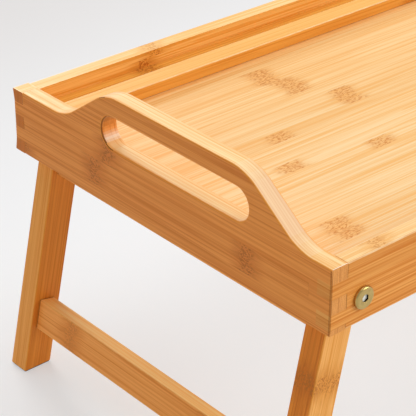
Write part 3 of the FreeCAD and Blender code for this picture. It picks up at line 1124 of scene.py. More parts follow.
        # Mark the socket's walls and floor, which the metal finish paints as shade and as a highlight.
        self.mesh.normal_update()
        for face in self.mesh.faces:
            offset = face.calc_center_median() - start
            depth = -offset.dot(axis)
            radius = (offset + axis * depth).length
            if self.SOCKET_LIP < depth < self.SOCKET_REACH and radius < self.SOCKET_RADIUS:
                is_floor = face.normal.dot(axis) > HALFWAY
                face[pocket] = (float(not is_floor), float(is_floor), 0.0)

    def finished(self, name: str, material: bpy.types.Material) -> bpy.types.Object:
        """Turn the stock into an object with soft shading between rounded faces.

        Args:
            name: the piece's name.
            material: its finish.

        Returns:
            The object.
        """
        for face in self.mesh.faces:
            face.smooth = True
        for edge in self.mesh.edges:
            edge.smooth = len(edge.link_faces) != 2 or edge.calc_face_angle() < SHARP_ANGLE
        data = bpy.data.meshes.new(name)
        self.mesh.to_mesh(data)
        self.mesh.free()
        data.materials.append(material)
        thing = linked(name, data)
        polish = thing.modifiers.new("even_shading", "WEIGHTED_NORMAL")
        polish.keep_sharp = True
        polish.weight = 50
        return thing


def fit(piece: Workpiece, name: str, finish: Finish, body: Body, slot: Slot, *nodes: str) -> bpy.types.Object:
    """Finish a piece and fix it to its body in place of the plain solids that it stands for.

    Args:
        piece: the shaped stock.
        name: what the piece is called.
        finish: what it wears.
        body: what it moves with.
        slot: the finish it is ordered in; not used.
        nodes: the plain solids it replaces.

    Returns:
        The piece as an object.
    """
    thing = piece.finished(name, dressed(finish))
    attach(thing, body.value)
    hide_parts(*nodes)
    LOG.info("%s: %d faces, rides on %s, replaces %s", thing.name, len(thing.data.polygons), body.value,
             ", ".join(nodes))
    return thing


# ---------------------------------------------------------------- tray frame


@dataclass
class FingerJoint:
    """Interlocking fingers of one corner, counted from the top."""

    top: float
    bottom: float
    height: float
    first_is_board: bool

    def comb(self, tip: float, root: float, for_board: bool) -> list[tuple[float, float]]:
        """Toothed side of an outline, from the bottom up.

        Args:
            tip: where a tooth ends.
            root: where a gap ends.
            for_board: whether the outline is the end board's.

        Returns:
            Horizontal place and height of each corner.
        """
        corners = []
        for index in reversed(range(math.ceil((self.top - self.bottom) / self.height - ROUNDING))):
            high = self.top - index * self.height
            is_board = (index % 2 == 0) == self.first_is_board
            reach = tip if is_board == for_board else root
            corners += [(reach, max(high - self.height, self.bottom)), (reach, high)]
        return corners


@dataclass
class TrayFrame:
    """Two end boards with raised handles, and two rails, joined by fingers at the corners."""

    CURVE_STEPS: ClassVar[int] = 10
    # Painted shade on the rim at the hand slot's back end.
    SLOT_RIM_SHADE: ClassVar[float] = 1.8
    # Marks on the slot's back end wall by which way it faces: painted shade on the upper wall, a painted
    # sheen lower down, and warm painted edge light where the ledge begins.
    SLOT_END_SHADE_AND_SHEEN: ClassVar[tuple[tuple[float, float, float], ...]] = (
        (1.62, -1.0, -0.30), (1.50, -0.30, 0.0), (1.38, 0.0, 0.16), (-0.22, 0.30, 0.45), (-0.44, 0.45, 0.80),
        (-0.72, 0.60, 0.70), (0.88, 0.80, 0.999))
    # Painted sheen on the handle's front slope, stronger where it slopes more.
    SLOPE_SHEEN: ClassVar[tuple[tuple[float, float], ...]] = ((-0.26, 0.08), (-0.34, 0.36), (-0.42, 0.52))
    # Painted shade line on the front upright corners.
    CORNER_SHADE_LINE: ClassVar[float] = 1.58
    BACK_FLAT: ClassVar[float] = 0.88
    BOARD_KNOTS: ClassVar[dict[Side, tuple[Knot, Knot]]] = {
        Side.LEFT: (Knot(0.0700, 0.1839, 0.2044, 0.158), Knot(0.0543, 0.2044, 0.2249, 0.620)),
        Side.RIGHT: (Knot(-0.041, 0.1839, 0.2044, 0.158), Knot(0.101, 0.2044, 0.2249)),
    }

    front_finger: float = 0.011
    back_finger: float = 0.0099
    handle_centre: float = 0.150
    crest_length: float = 0.118
    slope_angle: float = math.radians(36.0)
    curve_radius: float = 0.036
    slot_length: float = 0.150
    slot_height: float = 0.0245
    slot_centre: float = 0.057
    groove_depth: float = 0.004
    stop_bevel_depth: float = 0.0022
    corner_round: float = 0.0012
    back_corner_round: float = 0.0021
    raised_end_round: float = 0.0012
    edge_round: float = 0.0010
    lower_edge_round: float = 0.0006
    slot_round: float = 0.0012
    tip_round: float = 0.0005
    bolt_hole_radius: float = 0.0032

    def __post_init__(self) -> None:
        """Read the frame's real sizes from its plain solids."""
        self.board_low, self.board_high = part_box("left_end_board")
        self.rail_low, self.rail_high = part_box("front_rail")
        self.back_low, self.back_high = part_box("back_rail")
        self.panel_low, self.panel_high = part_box("tray_panel")
        self.rail_inner_y = self.back_low.y
        self.board_inner_x = self.board_high.x
        self.rail_root_x = self.board_inner_x - HAIRLINE
        self.rail_top = self.rail_high.z
        self.slot_middle = self.board_low + Vector((0.0, self.handle_centre, self.slot_centre))
        self.slot_end = self.slot_middle.y + self.slot_length / 2
        self.front = FingerJoint(self.rail_top, self.rail_low.z, self.front_finger, True)
        self.back = FingerJoint(self.back_high.z, self.back_low.z, self.back_finger, False)

    def build(self) -> list[bpy.types.Object]:
        """Make the four boards."""
        return [self.end_board(Side.LEFT), self.end_board(Side.RIGHT), self.front_rail(), self.back_rail()]

    def end_board(self, side: Side) -> bpy.types.Object:
        """An end board with its handle, hand slot, fingers, panel groove and stop face.

        Args:
            side: which end.

        Returns:
            The piece.
        """
        piece = self._board_blank()
        piece.cut(self._hand_slot())
        self._ease_board(piece)
        self._mark_board(piece)
        piece.cut(self._groove(), self._stop_wedge())
        if side is Side.RIGHT:
            piece.mirror(ALONG_TRAY)
        piece.lay_up(self._board_layup(side))
        return fit(piece, f"end_board_{side.word}", BOARD_BAMBOO, Body.TRAY, Slot.FRAME,
                   f"{side.word}_end_board")

    def _handle_corners(self) -> list[tuple[float, float]]:
        """The four corners of the handle before they are rounded, from back to front.

        Returns:
            Y and height of each corner.
        """
        centre = self.handle_centre + self.board_low.y
        crest = self.board_high.z
        half = self.crest_length / 2 + self.curve_radius * math.tan(self.slope_angle / 2)
        corners = []
        for edge, low in ((Edge.BACK, self.back_high.z), (Edge.FRONT, self.rail_top)):
            run = (crest - low) / math.tan(self.slope_angle)
            corners.append((centre + edge.value * (half + run), low))
            corners.append((centre + edge.value * half, crest))
        return corners[:2] + corners[:1:-1]

    def _board_blank(self) -> Workpiece:
        """The left end board sawn to its outline and thickness, with square edges.

        Returns:
            The blank.
        """
        front = self.front.comb(self.board_low.y, -self.rail_inner_y, True)
        back = self.back.comb(self.board_high.y, self.rail_inner_y - HAIRLINE, True)
        handle = self._handle_corners()
        corners = [*front, *reversed(handle), *reversed(back)]
        piece = Workpiece.outline([Vector((self.board_low.x, *place)) for place in corners])
        for place in handle:
            piece.round_corner(Vector((self.board_low.x, *place)), self.curve_radius, self.CURVE_STEPS)
        piece.thicken(ALONG_TRAY * (self.board_high.x - self.board_low.x))
        return piece

    def _hand_slot(self) -> Workpiece:
        """Cutter for the long hand hole with round ends.

        Returns:
            The cutter, through the left board.
        """
        thickness = self.board_high.x - self.board_low.x
        half = Vector((0.0, self.slot_length / 2, self.slot_height / 2))
        start = Vector((self.board_low.x - thickness, self.slot_middle.y, self.slot_middle.z))
        corners = ((-1, -1), (1, -1), (1, 1), (-1, 1))
        outline = [start + Vector((0.0, across * half.y, up * half.z)) for across, up in corners]
        cutter = Workpiece.outline(outline)
        for corner in outline:
            cutter.round_corner(corner, half.z - TOUCHING, self.CURVE_STEPS)
        cutter.thicken(ALONG_TRAY * thickness * 3)
        return cutter

    def _ease_board(self, piece: Workpiece) -> None:
        """Round the edges that a hand can touch; the sawn fingers stay crisp.

        Args:
            piece: the left end board.
        """
        low, high = self.board_low, self.board_high
        half_slot = Vector((0.0, self.slot_length / 2 + TOUCHING, self.slot_height / 2 + TOUCHING))

        def on_faces(a: Vector, b: Vector) -> bool:
            """Whether an edge lies on the outer or the inner face."""
            return same(a.x, b.x) and (same(a.x, low.x) or same(a.x, high.x))

        def in_slot(a: Vector, b: Vector) -> bool:
            """Whether an edge belongs to the hand slot."""
            offset = (a + b) / 2 - self.slot_middle
            return abs(offset.z) < half_slot.z and abs(offset.y) < half_slot.y

        def is_top(a: Vector, b: Vector) -> bool:
            """Whether an edge runs along the handle and its low flats."""
            return on_faces(a, b) and not in_slot(a, b) and min(a.z, b.z) > self.rail_top - TOUCHING

        def is_corner(a: Vector, edge: Edge) -> bool:
            """Whether an end point lies on the outer upright corner at one long side."""
            return same(a.x, low.x) and same(a.y, edge.value * high.y)

        piece.ease(piece.edges_where(lambda a, b: on_faces(a, b) and in_slot(a, b)), self.slot_round)
        piece.ease(piece.edges_where(is_top), self.edge_round)
        # The finger tips level with the rail top get a painted highlight along their top edges.
        tip_top = piece.edges_where(lambda a, b: same(a.z, b.z, self.rail_top)
                                    and max(a.y, b.y) < low.y + TOUCHING)
        piece.ease(tip_top, self.tip_round, 2, Mark.PAINTED_SHEEN)
        bottom = piece.edges_where(lambda a, b: on_faces(a, b) and max(a.z, b.z) < low.z + TOUCHING)
        piece.ease(bottom, self.lower_edge_round, 2)
        corners = ((Edge.FRONT, self.corner_round, 3), (Edge.BACK, self.back_corner_round, 4))
        for edge, radius, strips in corners:
            upright = piece.edges_where(lambda a, b: is_corner(a, edge) and is_corner(b, edge))
            piece.ease(upright, radius, strips)

    def _mark_board(self, piece: Workpiece) -> None:
        """Mark the back low flat; paint shade and a highlight into the slot's back end, a sheen on the front
        slope and a shade line on the front corner.

        Args:
            piece: the left end board.
        """
        straight_end = self.slot_end - self.slot_height / 2
        outer_x = self.board_low.x + self.slot_round

        def in_slot_end(middle: Vector) -> bool:
            """Whether a face lies in the round back end of the hand slot."""
            return (straight_end < middle.y < self.slot_end + self.slot_round
                    and abs(middle.z - self.slot_middle.z) < self.slot_height)

        def on_top(middle: Vector, normal: Vector) -> bool:
            """Whether a face looks up from the handle or its flats."""
            return middle.z > self.rail_top and normal.z > HALFWAY

        piece.mark(self.BACK_FLAT, lambda middle, normal: on_top(middle, normal) and middle.y > self.slot_end
                   and normal.z > SQUARELY)
        # The rim at the slot's back end gets painted shade.
        piece.mark(self.SLOT_RIM_SHADE, lambda middle, normal: in_slot_end(middle) and middle.x < outer_x
                   and -SQUARELY < normal.x < -BARELY and abs(normal.z) < 0.8)
        # Painted shade, sheen and edge light on the slot's back end wall.
        for value, low, high in self.SLOT_END_SHADE_AND_SHEEN:
            piece.mark(value, lambda middle, normal: in_slot_end(middle) and middle.x > outer_x
                       and normal.y < 0.0 and low < normal.z < high)
        # Painted sheen on the front slope.
        for value, lean in self.SLOPE_SHEEN:
            piece.mark(value, lambda middle, normal: on_top(middle, normal) and middle.y < self.slot_middle.y
                       and normal.y < -lean and abs(normal.x) < BARELY)
        self._mark_front_corner(piece)

    def _mark_front_corner(self, piece: Workpiece) -> None:
        """Paint a shade line on the rounding of the front left and front right upright corners.

        Args:
            piece: a board or rail that has them.
        """
        inner = self.board_low + Vector((self.corner_round, self.corner_round, 0.0))
        piece.mark(self.CORNER_SHADE_LINE, lambda middle, normal: abs(middle.x) > -inner.x and middle.y < inner.y
                   and abs(normal.x) > BARELY and normal.y < -BARELY and abs(normal.z) < BARELY)

    def _groove(self) -> Workpiece:
        """Cutter for the groove that holds the panel, as wide and long as the groove.

        Returns:
            The cutter.
        """
        reach_x = self.groove_depth - self.board_inner_x
        reach_y = self.groove_depth + self.rail_inner_y
        return Workpiece.block(Vector((-reach_x, -reach_y, self.panel_low.z)),
                               Vector((reach_x, reach_y, self.panel_high.z)))

    def _stop_wedge(self) -> Workpiece:
        """Cutter for the slanting face that the open legs rest against.

        Returns:
            The wedge, along the left board's lower inner edge.
        """
        slant = Vector((math.tan(SPLAY), 0.0, 1.0))
        foot = Vector((self.board_inner_x - self.stop_bevel_depth, -self.rail_inner_y, self.board_low.z))
        below = foot - slant * CLEAR
        tip = foot + slant * (pivot_at(Side.LEFT).z - self.board_low.z)
        wedge = Workpiece.outline([below, tip, Vector((tip.x, tip.y, below.z))])
        wedge.thicken(BACKWARD * 2 * self.rail_inner_y)
        return wedge

    def _board_layup(self, side: Side) -> Layup:
        """Strips, knots and the seam of an end board.

        Args:
            side: which end.

        Returns:
            The glue-up.
        """
        middle = side.value * (self.board_low.x + self.board_high.x) / -2
        return Layup(BACKWARD, UP, strip_width=0.0205, first_edge=0.1839, ply=middle, clean_edges=True,
                     knots=self.BOARD_KNOTS[side], seams=(ButtSeam(-0.1456, 0.1950, 0.2044),),
                     lone_reach=(0.145, 0.160), tones=((0, 0.0),), seed=11 + side.value)

    def _rail_blank(self, left: Sequence[tuple[float, float]], low_y: float, high_y: float) -> Workpiece:
        """A rail sawn to its outline and thickness, eased, grooved and bored for its two bolts.

        Args:
            left: X and height of each corner of its left half.
            low_y: its front face.
            high_y: its back face.

        Returns:
            The rail.
        """
        outline = [*left, *((-x, z) for x, z in reversed(left))]
        piece = Workpiece.outline([Vector((x, low_y, z)) for x, z in outline])
        piece.thicken(BACKWARD * (high_y - low_y))
        is_front = low_y < 0
        outer_y = low_y if is_front else high_y
        top = max(z for _, z in outline)
        bottom = min(z for _, z in outline)
        stands_up = top > self.rail_top
        inner_end = -self.board_inner_x + TOUCHING
        gap_from = inner_end - 2 * TOUCHING

        def in_gap(a: Vector, b: Vector) -> bool:
            """Whether an edge lies level with the rail between raised finger tops."""
            return stands_up and same(a.z, self.rail_top) and min(abs(a.x), abs(b.x)) > gap_from

        def is_long_edge(a: Vector, b: Vector) -> bool:
            """Whether an edge runs along the rail, outside the fingers' gaps."""
            is_edge = any(same(a.z, b.z, level) for level in (self.rail_top, top, bottom))
            return same(a.y, b.y) and is_edge and not in_gap(a, b)

        def is_corner(a: Vector, b: Vector) -> bool:
            """Whether an edge is an outer upright corner."""
            return same(a.x, b.x) and same(abs(a.x), self.rail_high.x) and same(a.y, b.y, outer_y)

        def is_raised_end(a: Vector, b: Vector) -> bool:
            """Whether an edge belongs to a finger top that stands above the rail."""
            return stands_up and min(a.z, b.z) > top - TOUCHING and min(abs(a.x), abs(b.x)) > inner_end

        piece.ease(piece.edges_where(is_long_edge), self.edge_round)
        piece.ease(piece.edges_where(is_corner), self.corner_round if is_front else self.back_corner_round, 4)
        piece.ease(piece.edges_where(is_raised_end, 0.8), self.raised_end_round)
        self._mark_front_corner(piece)
        piece.cut(self._groove())
        length = high_y - low_y + 2 * CLEAR
        for side in Side:
            start = pivot_at(side, low_y - CLEAR)
            piece.cut(Workpiece.rod(start, BACKWARD, length, self.bolt_hole_radius, 32))
        return piece

    def front_rail(self) -> bpy.types.Object:
        """The front rail.

        Returns:
            The piece.
        """
        left = self.front.comb(self.rail_low.x, self.rail_root_x, False)
        piece = self._rail_blank(left, self.rail_low.y, self.rail_high.y)
        on_top = Knot(-0.230, self.rail_top - HAIRLINE, self.rail_top + HAIRLINE, 0.62)
        layup = Layup(ALONG_TRAY, UP, strip_width=0.025, first_edge=0.1794, knots=(on_top,), seed=5,
                      ply=(self.board_high.y + self.rail_inner_y) / 2, lone_reach=(0.02, 0.2))
        piece.lay_up(layup, self._board_layup(Side.LEFT))
        return fit(piece, "rail_front", RAIL_BAMBOO, Body.TRAY, Slot.FRAME, "front_rail")

    def back_rail(self) -> bpy.types.Object:
        """The back rail, whose finger tops stand a little above its long top edge.

        Returns:
            The piece.
        """
        left = self.back.comb(self.back_low.x, self.rail_root_x, False)
        left += [(self.rail_root_x, self.back_high.z), (self.rail_root_x, self.rail_top)]
        piece = self._rail_blank(left, self.back_low.y, self.back_high.y)
        knots = (Knot(-0.163, 0.2044, 0.2169), Knot(-0.151, 0.2169, 0.2294))
        piece.lay_up(Layup(ALONG_TRAY, UP, strip_width=0.025, first_edge=0.1794, knots=knots, seed=8,
                           ply=-(self.board_high.y + self.rail_inner_y) / 2, lone_reach=(0.10, 0.24)))
        return fit(piece, "rail_back", BACK_RAIL_BAMBOO, Body.TRAY, Slot.FRAME, "back_rail")


# ---------------------------------------------------------------- what the frame holds


@dataclass
class TrayBed:
    """The glued panel, the divider on it, and the batten screwed under it."""

    PANEL_KNOTS: ClassVar[tuple[Knot, ...]] = (
        Knot(-0.1060, 0.069, 0.094), Knot(-0.0984, 0.044, 0.069), Knot(-0.0790, 0.0065, 0.0315),
        Knot(-0.1635, -0.006, 0.0065), Knot(-0.1140, -0.056, -0.0435), Knot(-0.1878, -0.0435, -0.031),
        Knot(-0.2206, -0.131, -0.106))
    FOOT_SHADOW: ClassVar[float] = 1.6

    divider_round: float = 0.0008
    divider_foot: float = 0.0004
    batten_round: float = 0.0010
    screw_holes: tuple[float, float, float] = (-0.113, 0.0, 0.113)
    screw_head_radius: float = 0.0035
    screw_shank_radius: float = 0.00175
    screw_head_height: float = 0.0022
    screw_head_rim: float = 0.0002
    screw_room: float = 0.0001
    # Share of the edge colour across the panel: it rises towards the back; the band in front of the divider,
    # from 0.094, is painted warm bounce light and shade, and the slot floor takes the edge colour whole.
    edge_shares: tuple[tuple[float, float], ...] = (
        (-0.031, 0.04), (-0.006, 0.10), (0.019, 0.16), (0.044, 0.20), (0.069, 0.24), (0.094, 0.38),
        (0.1065, 0.50), (0.119, 1.0))
    # Strip 10, in front of and under the divider, is lighter to offset the divider's cast shadow: painted
    # light.
    strip_tones: tuple[tuple[int, float], ...] = ((6, -0.9), (7, -0.2), (8, 0.5), (9, -0.3), (10, 0.9))
    cross_recess: float = 0.0034
    cross_width: float = 0.0007
    cross_depth: float = 0.0012

    def build(self) -> list[bpy.types.Object]:
        """Make the panel, divider, batten and screws."""
        return [self.panel(), self.divider(), self.batten(), self.screws()]

    def panel(self) -> bpy.types.Object:
        """The panel, glued up from strips that run along the tray.

        Returns:
            The piece.
        """
        low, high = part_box("tray_panel")
        piece = Workpiece.block(low, high)
        slot_floor = Knot(-0.1630, self.edge_shares[-1][0], high.y)
        piece.lay_up(Layup(ALONG_TRAY, BACKWARD, strip_width=0.025, first_edge=-0.156, seed=3,
                           knots=(*self.PANEL_KNOTS, slot_floor), edge_shares=self.edge_shares,
                           tones=self.strip_tones))
        return fit(piece, "tray_bed_panel", PANEL_BAMBOO, Body.TRAY, Slot.PANEL, "tray_panel")

    def divider(self) -> bpy.types.Object:
        """The strip that keeps a slot open along the back rail.

        Returns:
            The piece.
        """
        low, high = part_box("back_divider")
        piece = Workpiece.block(low, high)
        upper = piece.edges_where(lambda a, b: same(a.y, b.y) and same(a.z, b.z, high.z))
        piece.ease(upper, self.divider_round)
        lower = piece.edges_where(lambda a, b: same(a.y, b.y) and same(a.z, b.z, low.z))
        piece.ease(lower, self.divider_foot, 1, self.FOOT_SHADOW)
        piece.lay_up(Layup(ALONG_TRAY, UP, strip_width=0.030, first_edge=0.200, seed=21,
                           ply=-(low.y + high.y) / 2, lone_reach=(0.08, 0.22)))
        return fit(piece, "divider", DIVIDER_BAMBOO, Body.TRAY, Slot.FRAME, "back_divider")

    def batten(self) -> bpy.types.Object:
        """The batten across the middle of the panel's underside.

        Returns:
            The piece.
        """
        low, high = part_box("panel_batten")
        piece = Workpiece.block(low, high)
        lower = piece.edges_where(lambda a, b: same(a.x, b.x) and same(a.z, b.z, low.z))
        piece.ease(lower, self.batten_round)
        for y in self.screw_holes:
            piece.cut(self._screw_body(y, low.z, high.z, self.screw_room))
        piece.lay_up(Layup(BACKWARD, ALONG_TRAY, strip_width=0.020, first_edge=-0.015, seed=31,
                           lone_reach=(-0.1, 0.1)))
        return fit(piece, "batten", RAIL_BAMBOO, Body.TRAY, Slot.FRAME, "panel_batten")

    def _screw_body(self, y: float, low_z: float, high_z: float, room: float = 0.0) -> Workpiece:
        """A countersunk screw's outer shape.

        Args:
            y: where the screw stands.
            low_z: the batten's underside.
            high_z: where the shape ends.
            room: how much wider than the screw it is.

        Returns:
            The closed shape.
        """
        head = self.screw_head_radius + room
        shank = self.screw_shank_radius + room
        profile = [(0.0, low_z - room), (head, low_z - room), (head, low_z + self.screw_head_rim),
                   (shank, low_z + self.screw_head_height), (shank, high_z), (0.0, high_z)]
        return Workpiece.turned(BACKWARD * y, UP, ALONG_TRAY, profile, 32)

    def screws(self) -> bpy.types.Object:
        """The three batten screws with crossed drive recesses.

        Returns:
            The piece that holds all three.
        """
        low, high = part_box("batten_screws")
        long, wide = self.cross_recess / 2, self.cross_width / 2
        whole = Workpiece()
        for y in self.screw_holes:
            screw = self._screw_body(y, low.z, high.z)
            centre = Vector((0.0, y, low.z))
            for half in (Vector((long, wide, self.cross_depth)), Vector((wide, long, self.cross_depth))):
                screw.cut(Workpiece.block(centre - half, centre + half))
            whole.add(screw)
        whole.record_turning(UP * low.z, UP)
        return fit(whole, "batten_screw_set", STEEL, Body.TRAY, Slot.SCREW, "batten_screws")


# ---------------------------------------------------------------- leg frames


@dataclass
class LegFrame:
    """Two splayed legs joined by two stretchers, on two thin pads, at one end of the tray."""

    # One painted lit copy and one painted shaded copy of the leg bamboo.
    LEG_FINISHES: ClassVar[dict[Edge, Finish]] = {Edge.FRONT: FRONT_LEG_LIT_FACE_BAMBOO, Edge.BACK: BACK_LEG_SHADED_FACE_BAMBOO}
    KNOT_HEIGHTS: ClassVar[dict[Edge, float]] = {Edge.FRONT: -0.068, Edge.BACK: -0.235}

    side: Side
    width: float = 0.0235
    depth: float = 0.018
    edge_round: float = 0.0008
    pad_thickness: float = 0.0012
    bore_radius: float = 0.00455
    cross_height: float = 0.024
    cross_thickness: float = 0.013
    cross_inset: float = 0.005
    cross_round: float = 0.0008
    shoulder_round: float = 0.0004
    joint_line: float = 0.0009
    upper_start: float = 0.0105
    lower_cross_height: float = 0.033
    tenon_length: float = 0.008
    tenon_shoulder: float = 0.003
    pad_round: float = 0.0003

    def __post_init__(self) -> None:
        """Read the pivot and the legs' places from the frame."""
        self.pivot = pivot_at(Side.LEFT)
        self.own_pivot = pivot_at(self.side)
        low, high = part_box("front_left_leg")
        self.outer_y = -low.y
        self.inner_y = -high.y
        self.body = Body.legs(self.side)
        self.up_leg = Vector((-self.side.value * math.sin(SPLAY), 0.0, math.cos(SPLAY)))
        outer_rise = (self.width / 2 - self.cross_inset) * math.tan(SPLAY)
        offset = (self.pivot.z - self.lower_cross_height) / math.cos(SPLAY)
        self.lower_start = offset - outer_rise - self.cross_height

    def build(self) -> list[bpy.types.Object]:
        """Make the legs, stretchers and pads of this end.

        Returns:
            The pieces.
        """
        legs = [self.leg(edge) for edge in Edge]
        stretchers = [self.stretcher("lower", self.lower_start), self.stretcher("upper", self.upper_start)]
        return [*legs, *stretchers, *(self.pad(edge) for edge in Edge)]

    def _splayed_out(self, piece: Workpiece) -> None:
        """Turn a piece drawn upright at the left into the open leg's slant."""
        piece.turn(self.pivot, BACKWARD, SPLAY)

    def _placed(self, piece: Workpiece, edge: Edge = Edge.FRONT) -> None:
        """Move a front left piece to its own corner.

        Args:
            piece: the piece.
            edge: front or back.
        """
        for is_away, normal in ((self.side is Side.RIGHT, ALONG_TRAY), (edge is Edge.BACK, BACKWARD)):
            if is_away:
                piece.mirror(normal)

    def leg(self, edge: Edge) -> bpy.types.Object:
        """A leg with a round top, eased edges, its bore and a level foot.

        Args:
            edge: front or back.

        Returns:
            The piece.
        """
        centre = self.pivot - BACKWARD * self.outer_y
        half = ALONG_TRAY * self.width / 2
        foot = Vector((centre.x, centre.y, -self.width))
        piece = Workpiece()
        start = piece.mesh.verts.new(centre - half)
        bmesh.ops.spin(piece.mesh, geom=[start], cent=centre, axis=BACKWARD, angle=math.pi, steps=24)
        left, right = sorted(piece.near(centre - half, centre + half), key=lambda vertex: vertex.co.x)
        feet = [piece.mesh.verts.new(foot + half), piece.mesh.verts.new(foot - half)]
        for pair in ((right, feet[0]), feet, (feet[1], left)):
            piece.mesh.edges.new(pair)
        bmesh.ops.contextual_create(piece.mesh, geom=list(piece.mesh.edges))
        piece.thicken(BACKWARD * self.depth)
        on_side_face = piece.edges_where(lambda a, b: same(a.y, b.y) and max(a.z, b.z) > foot.z + TOUCHING)
        piece.ease(on_side_face, self.edge_round)
        bore = Workpiece.rod(centre - BACKWARD * self.depth, BACKWARD, 3 * self.depth, self.bore_radius)
        mortises = [self._cross_block(distance, self.inner_y + self.tenon_length, self.tenon_shoulder)
                    for distance in (self.upper_start, self.lower_start)]
        piece.cut(bore, *mortises)
        self._splayed_out(piece)
        piece.saw_off(UP * self.pad_thickness, -UP)
        self._placed(piece, edge)
        piece.lay_up(self._leg_layup(edge))
        return fit(piece, f"leg_{edge.word}_{self.side.word}", self.LEG_FINISHES[edge], self.body, Slot.LEG,
                   f"{edge.word}_{self.side.word}_leg")

    def _leg_layup(self, edge: Edge) -> Layup:
        """How a leg is glued up.

        Args:
            edge: front or back.

        Returns:
            The glue-up, measured from the pivot.
        """
        knot = Knot(self.KNOT_HEIGHTS[edge], -self.width, self.width, 0.40)
        return Layup(self.up_leg, BACKWARD.cross(self.up_leg), strip_width=self.width,
                     first_edge=-self.width / 2, ply=edge.value * (self.outer_y + self.inner_y) / 2,
                     origin=self.own_pivot, knots=(knot,), seed=40 + 2 * self.side.value + edge.value)

    def _cross_block(self, start: float, reach: float, shoulder: float) -> Workpiece:
        """An upright block hung below the left pivot, between the legs.

        Args:
            start: distance of its top below the pivot.
            reach: half its length.
            shoulder: how much is taken off all round.

        Returns:
            The block.
        """
        outer_x = self.pivot.x - self.width / 2 + self.cross_inset
        high_z = self.pivot.z - start
        low = Vector((outer_x + shoulder, -reach, high_z - self.cross_height + shoulder))
        high = Vector((outer_x + self.cross_thickness - shoulder, reach, high_z - shoulder))
        return Workpiece.block(low, high)

    def _end_faces(self, piece: Workpiece) -> list[bmesh.types.BMFace]:
        """The two faces at the ends of an upright cross block."""
        piece.mesh.normal_update()
        return [face for face in piece.mesh.faces if abs(face.normal.y) > SQUARELY]

    def stretcher(self, level: str, start: float) -> bpy.types.Object:
        """A stretcher with eased edges and a tenon at each end.

        Args:
            level: lower or upper.
            start: distance of its top below the pivot.

        Returns:
            The piece.
        """
        piece = self._cross_block(start, self.inner_y, 0.0)
        piece.ease(piece.edges_where(lambda a, b: abs(a.y - b.y) > self.inner_y), self.cross_round)
        rims = {edge for face in self._end_faces(piece) for edge in face.edges}
        piece.ease(rims, self.shoulder_round, 1, Mark.SHADOW)
        line_start = self.inner_y - self.joint_line
        for edge in Edge:
            piece.part_at(BACKWARD * edge.value * line_start, BACKWARD)
        piece.mark(Mark.SHADOW, lambda middle, normal: (abs(middle.y) > line_start
                                                        and abs(normal.y) < SQUARELY))
        shoulder = self.tenon_shoulder - self.shoulder_round
        for face in self._end_faces(piece):
            outward = BACKWARD * math.copysign(1.0, face.normal.y)
            bmesh.ops.inset_region(piece.mesh, faces=[face], thickness=shoulder)
            grown = bmesh.ops.extrude_discrete_faces(piece.mesh, faces=[face])
            bmesh.ops.translate(piece.mesh, vec=outward * self.tenon_length, verts=grown["faces"][0].verts)
        piece.face_outwards()
        self._splayed_out(piece)
        self._placed(piece)
        is_lower = level == "lower"
        knots = (Knot(0.093, -1.0, 1.0, 0.155),) if is_lower else ()
        piece.lay_up(Layup(BACKWARD, self.up_leg, strip_width=self.cross_height, knots=knots,
                           first_edge=-start - self.cross_height, origin=self.own_pivot, clean_edges=True,
                           lone_reach=(-0.1, 0.1), tones=((0, 0.6),),
                           seed=60 + self.side.value + 5 * is_lower))
        return fit(piece, f"stretcher_{level}_{self.side.word}", STRETCHER_BAMBOO, self.body, Slot.LEG,
                   f"{self.side.word}_{level}_stretcher")

    def pad(self, edge: Edge) -> bpy.types.Object:
        """The thin pad under one foot.

        Args:
            edge: front or back.

        Returns:
            The piece.
        """
        node = f"{edge.word}_{self.side.word}_foot_pad"
        piece = Workpiece.block(*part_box(node))
        piece.ease(piece.edges_where(lambda a, b: abs(a.z - b.z) > self.pad_thickness / 2), self.edge_round)
        piece.ease(piece.edges_where(lambda a, b: same(a.z, b.z), 1.0), self.pad_round, 2)
        return fit(piece, f"pad_{edge.word}_{self.side.word}", RUBBER, self.body, Slot.PAD, node)


# ---------------------------------------------------------------- pivot hardware


